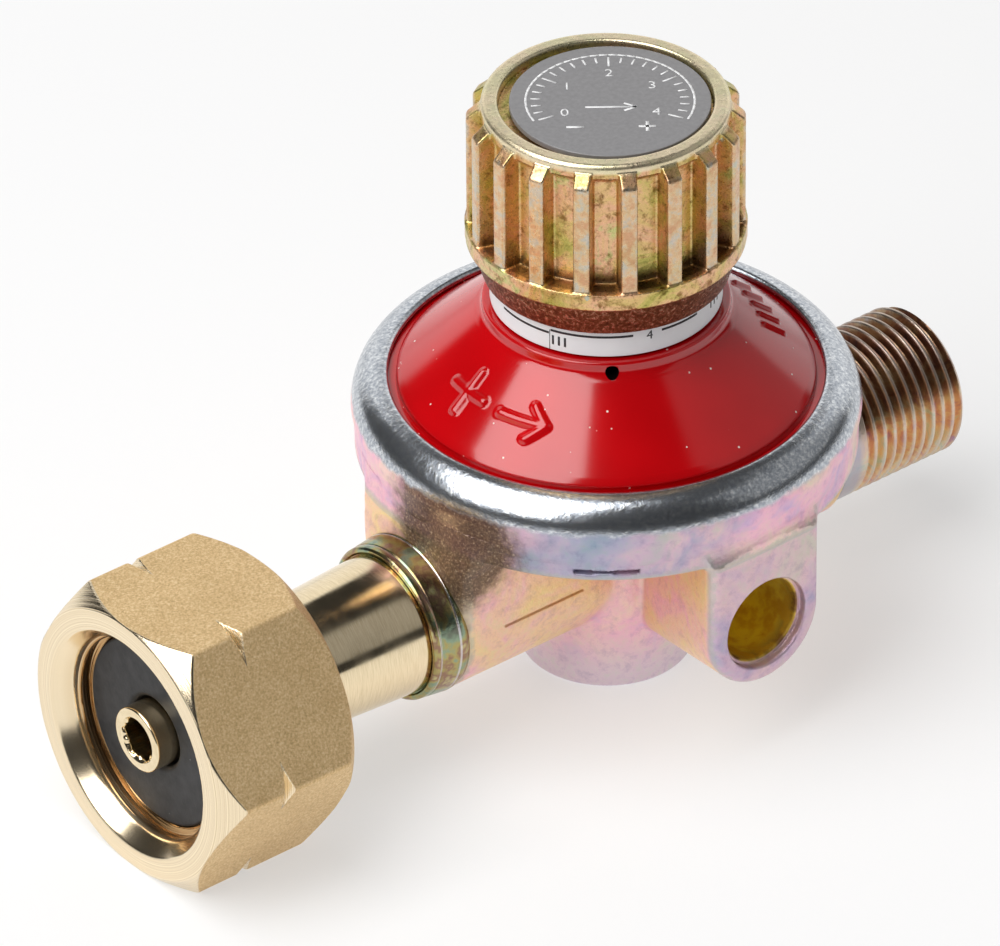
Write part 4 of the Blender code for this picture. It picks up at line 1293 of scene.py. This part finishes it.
def nut_brass():
    """Sand-blasted flats; the front face, its chamfer and the mouth are turned and polished."""
    finish = Finish("nut_blasted_brass", roughness=0.5, metallic=1.0)
    r = finish.from_axis_x()
    from_front = finish.axis("X") - NUT_FRONT
    chamfer = from_front - (r - NUT_FACE_R)
    turned = finish.between(chamfer, 0.22, 0.1).most(finish.between(from_front, 0.16, 0.1))
    across = abs(finish.axis("X") - NUT_NOTCH_X)
    notch = across * NUT_NOTCH_SLOPE + NUT_NOTCH_R - r
    turned = turned.most(finish.between(abs(notch), 0.12, 0.06))
    inside = finish.between(r, NUT_MOUTH_R + 0.1, NUT_MOUTH_R - 0.1)
    turned = turned.most(inside)
    grit = finish.noise(0.26, 3.0, 0.8)
    broad = finish.noise(5.0, 3.0, 0.6)
    sandy = finish.ramp(grit, [(0.3, (0.6, 0.4, 0.19)), (0.5, (0.83, 0.6, 0.31)), (0.7, (1.0, 0.82, 0.53))])
    sandy = finish.mix(
        0.5, sandy, finish.ramp(broad, [(0.3, (0.82, 0.78, 0.7)), (0.7, (1, 1, 1))]), "MULTIPLY"
    )
    winding = r + from_front * 0.7
    rings = finish.node("ShaderNodeTexNoise", noise_dimensions="1D")
    for name, value in (("Scale", 6.0), ("Detail", 3.0), ("W", winding)):
        give(finish.tree, rings.inputs[name], value)
    rings = finish.output(rings, "Fac")
    polished = finish.ramp(rings, [(0.3, (0.80, 0.64, 0.42)), (0.7, (0.95, 0.82, 0.60))])
    # Painted shade: the bore and its thread are darker brown deep inside the nut.
    bore = finish.between(r, NUT_BORE_R + 0.7, NUT_BORE_R + 0.3) * finish.between(from_front, 2.2, 2.6)
    polished = finish.mix(bore, polished, (0.50, 0.30, 0.13))
    finish.set("Base Color", finish.mix(turned, sandy, polished))
    finish.set("Metallic", finish.between(turned, 0, 1, 0.72, 1.0))
    finish.set("Roughness", finish.between(turned, 0, 1, 0.58, 0.2))
    height = finish.mix(turned, grit, rings)
    finish.bump(height, 0.035)
    return finish


def polished_brass():
    finish = Finish("nipple_polished_brass", roughness=0.13, metallic=1.0)
    around = finish.noise(1.2, 3.0, stretch=(0.08, 1.6, 1.6))
    finish.set("Base Color", finish.ramp(around, [(0.3, (0.78, 0.63, 0.40)), (0.7, (0.90, 0.76, 0.52))]))
    finish.set("Roughness", finish.between(finish.noise(3.0, 3.0), 0.3, 0.7, 0.10, 0.19))
    finish.bump(around, 0.004)
    return finish


def seal_rubber():
    finish = Finish("seal_dark_rubber", (0.03, 0.03, 0.032), 0.5, Specular_IOR_Level=0.3)
    dots = finish.dots(0.9, 0.09, 0.05)
    dust = dots * finish.between(finish.noise(2.0, 2.0), 0.54, 0.6)
    shade = finish.ramp(finish.noise(1.4, 4.0), [(0.3, (0.022, 0.022, 0.024)), (0.7, (0.04, 0.04, 0.042))])
    finish.set("Base Color", finish.mix(dust, shade, (0.4, 0.4, 0.38)))
    finish.bump(finish.noise(0.4, 3.0), 0.02)
    return finish


def inner_finish(slot):
    """A finish for a piece inside the body, from the record's own colour for its slot."""
    entry = [m for m in frame["record"]["materials"] if m["slot"] == slot][0]
    colour = tuple(entry["base_color"][:3])
    metal = entry["class"] in ("brass", "brushed_steel")
    finish = Finish("inner_" + slot, colour, 0.3 if metal else 0.55, 1.0 if metal else 0.0)
    darker = tuple(c * 0.8 for c in colour)
    grain = finish.noise(0.9 if slot != "sintered_bronze" else 0.3, 3.0)
    finish.set("Base Color", finish.ramp(grain, [(0.3, darker), (0.7, colour)]))
    finish.bump(grain, 0.15 if slot == "sintered_bronze" else 0.01)
    return finish


# ---------------------------------------------------------------- assembling the object

def place(piece, body, slot, finish, *nodes):
    finish.use(piece)
    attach(piece, body)
    if nodes:
        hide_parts(*nodes)


def place_shortening(node, body, slot):
    """A piece with its CAD form and a finish, attached to a body in place of the CAD node."""
    piece = put(node + "_shortening", frame["nodes"][node].data.copy())
    place(piece, body, slot, inner_finish(slot), node)
    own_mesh(piece)


def build_object():
    zinc, brass = cast_zinc(), polished_brass()
    place(body_casting(), "root", "cast_zinc", zinc, "body_casting")
    place(casting_lip(), "root", "cast_zinc", lip_metal())
    place(inlet_collar(), "root", "cast_zinc", collar_metal())
    place(outlet_thread(), "root", "cast_zinc", thread_metal())
    place(bonnet(), "root", "red_paint", red_enamel(), "bonnet")
    ring, marks = dial_band()
    place(ring, "root", "band_white", band_print(), "dial_band")
    place(marks, "root", "band_white", ink("band_black_ink", (0.015, 0.015, 0.018)))
    place(knob(), "knob", "yellow_zinc", yellow_zinc(), "knob")
    disc, marks = knob_label()
    place(disc, "knob", "label_grey", foil_grey(), "knob_label")
    place(marks, "knob", "label_grey", ink("label_white_ink", (0.75, 0.75, 0.76)))
    nut = nut_brass()
    place(union_nut(), "union_nut", "nut_brass", nut, "union_nut")
    place(nut_thread(), "union_nut", "nut_brass", nut)
    place(inlet_nipple(), "root", "brass", brass, "inlet_nipple")
    place(inlet_seal(), "root", "seal_rubber", seal_rubber(), "inlet_seal")

    place_shortening("adjusting_spring", "spring_carrier", "spring_steel")
    place_shortening("poppet_spring", "root", "spring_steel")
    place_shortening("diaphragm", "root", "black_rubber")

    inner = {}
    for entry in frame["record"]["subparts"]:
        node, slot = entry["node"], entry["material_slot"]
        if frame["nodes"][node].hide_render:
            continue
        if slot not in inner:
            inner[slot] = inner_finish(slot)
        inner[slot].use(frame["nodes"][node])


# ---------------------------------------------------------------- studio and camera

VIEW_AZIMUTH, VIEW_ELEVATION, VIEW_ROLL = -38.665, 34.502, -0.434
VIEW_DISTANCE = 1400.0
VIEW_LENS = 477.68
AIM_RIGHT, AIM_UP, AIM_LIFT = -11.151, 17.198, 0.3


def towards(azimuth, elevation):
    a, e = math.radians(azimuth), math.radians(elevation)
    return Vector((math.cos(a) * math.cos(e), math.sin(a) * math.cos(e), math.sin(e)))


def camera():
    back = towards(VIEW_AZIMUTH - 90, VIEW_ELEVATION)
    right = Vector((0, 0, 1)).cross(back).normalized()
    up = back.cross(right)
    aim = right * AIM_RIGHT + up * AIM_UP + Vector((0, 0, AIM_LIFT))
    data = bpy.data.cameras.new("camera")
    data.lens = VIEW_LENS
    data.sensor_width = 36.0
    data.clip_start = 0.1
    obj = put("camera", data)
    turn = Matrix((right, up, back)).transposed().to_4x4()
    roll = Matrix.Rotation(math.radians(VIEW_ROLL), 4, "Z")
    obj.matrix_world = Matrix.Translation((aim + back * VIEW_DISTANCE) * MM) @ turn @ roll
    bpy.context.scene.camera = obj


def softbox(name, azimuth, elevation, distance, size, power):
    data = bpy.data.lights.new(name, "AREA")
    data.shape = "RECTANGLE"
    data.size, data.size_y = size
    data.energy = power
    obj = put(name, data)
    direction = towards(azimuth, elevation)
    obj.location = direction * distance
    obj.rotation_euler = direction.to_track_quat("Z", "Y").to_euler()
    return obj


def backdrop():
    bm = bmesh.new()
    bmesh.ops.create_grid(bm, x_segments=8, y_segments=8, size=1.6)
    mesh = bpy.data.meshes.new("floor")
    bm.to_mesh(mesh)
    bm.free()
    obj = put("floor", mesh)
    finish = Finish("floor_pale", (0.45, 0.45, 0.45), 0.8, Specular_IOR_Level=0.1)
    finish.set(
        "Base Color",
        finish.ramp(finish.noise(400.0, 2.0), [(0.3, (0.44, 0.44, 0.44)), (0.7, (0.46, 0.46, 0.46))]),
    )
    finish.set("Emission Color", (1, 1, 1, 1))
    finish.set("Emission Strength", 0.52)
    finish.use(obj)


class Sky:
    """The world's light by direction: a dim room with pale panels given by azimuth and elevation."""

    def __init__(self, level):
        world = bpy.data.worlds.new("studio")
        bpy.context.scene.world = world
        world.use_nodes = True
        self.tree = world.node_tree
        coordinates = self.tree.nodes.new("ShaderNodeTexCoord")
        split = self.tree.nodes.new("ShaderNodeSeparateXYZ")
        self.tree.links.new(coordinates.outputs["Generated"], split.inputs[0])
        self.x, self.y, up = (Value(self.tree, split.outputs[name]) for name in "XYZ")
        self.total = level
        self.elevation = calculated(self.tree, "ARCSINE", up) * (180 / math.pi)

    def inside(self, value, low, high, soft):
        """1 between two bounds, fading to 0 over a soft edge."""
        shares = []
        for bound, start, end in ((low, 0.0, 1.0), (high, 1.0, 0.0)):
            made = self.tree.nodes.new("ShaderNodeMapRange")
            made.interpolation_type = "SMOOTHSTEP"
            names = ("Value", "From Min", "From Max", "To Min", "To Max")
            for name, number in zip(names, (value, bound - soft / 2, bound + soft / 2, start, end)):
                give(self.tree, made.inputs[name], number)
            shares.append(Value(self.tree, made.outputs["Result"]))
        return shares[0] * shares[1]

    def panel(self, azimuth, half, low, high, level, soft):
        ahead, side = ahead_and_side(self.x, self.y, azimuth)
        away = calculated(self.tree, "ARCTAN2", side, ahead) * (180 / math.pi)
        share = self.inside(away, -half, half, soft) * self.inside(self.elevation, low, high, soft)
        self.total = calculated(self.tree, "MAXIMUM", self.total, share * level)

    def finish(self):
        self.tree.links.new(self.total.socket, self.tree.nodes["Background"].inputs["Color"])
        self.tree.nodes["Background"].inputs["Strength"].default_value = 1.0


def studio():
    """A softbox high on the left, a pale backdrop behind and below, a grey panel on the right, a dim room."""
    sky = Sky(0.035)
    sky.panel(48, 46, -90, 39, 1.0, 6)
    sky.panel(-28, 40, 13, 57, 0.36, 8)
    sky.panel(-100, 60, -90, -2, 0.9, 6)
    sky.panel(150, 90, -90, -2, 0.9, 6)
    sky.finish()
    light = softbox("left_softbox", 172, 57, 0.9, (0.71, 1.1), 10.5)
    light.rotation_euler.rotate_axis("Z", math.radians(21))


bpy.context.scene.view_settings.view_transform = "Standard"
camera()
studio()
backdrop()
build_object()
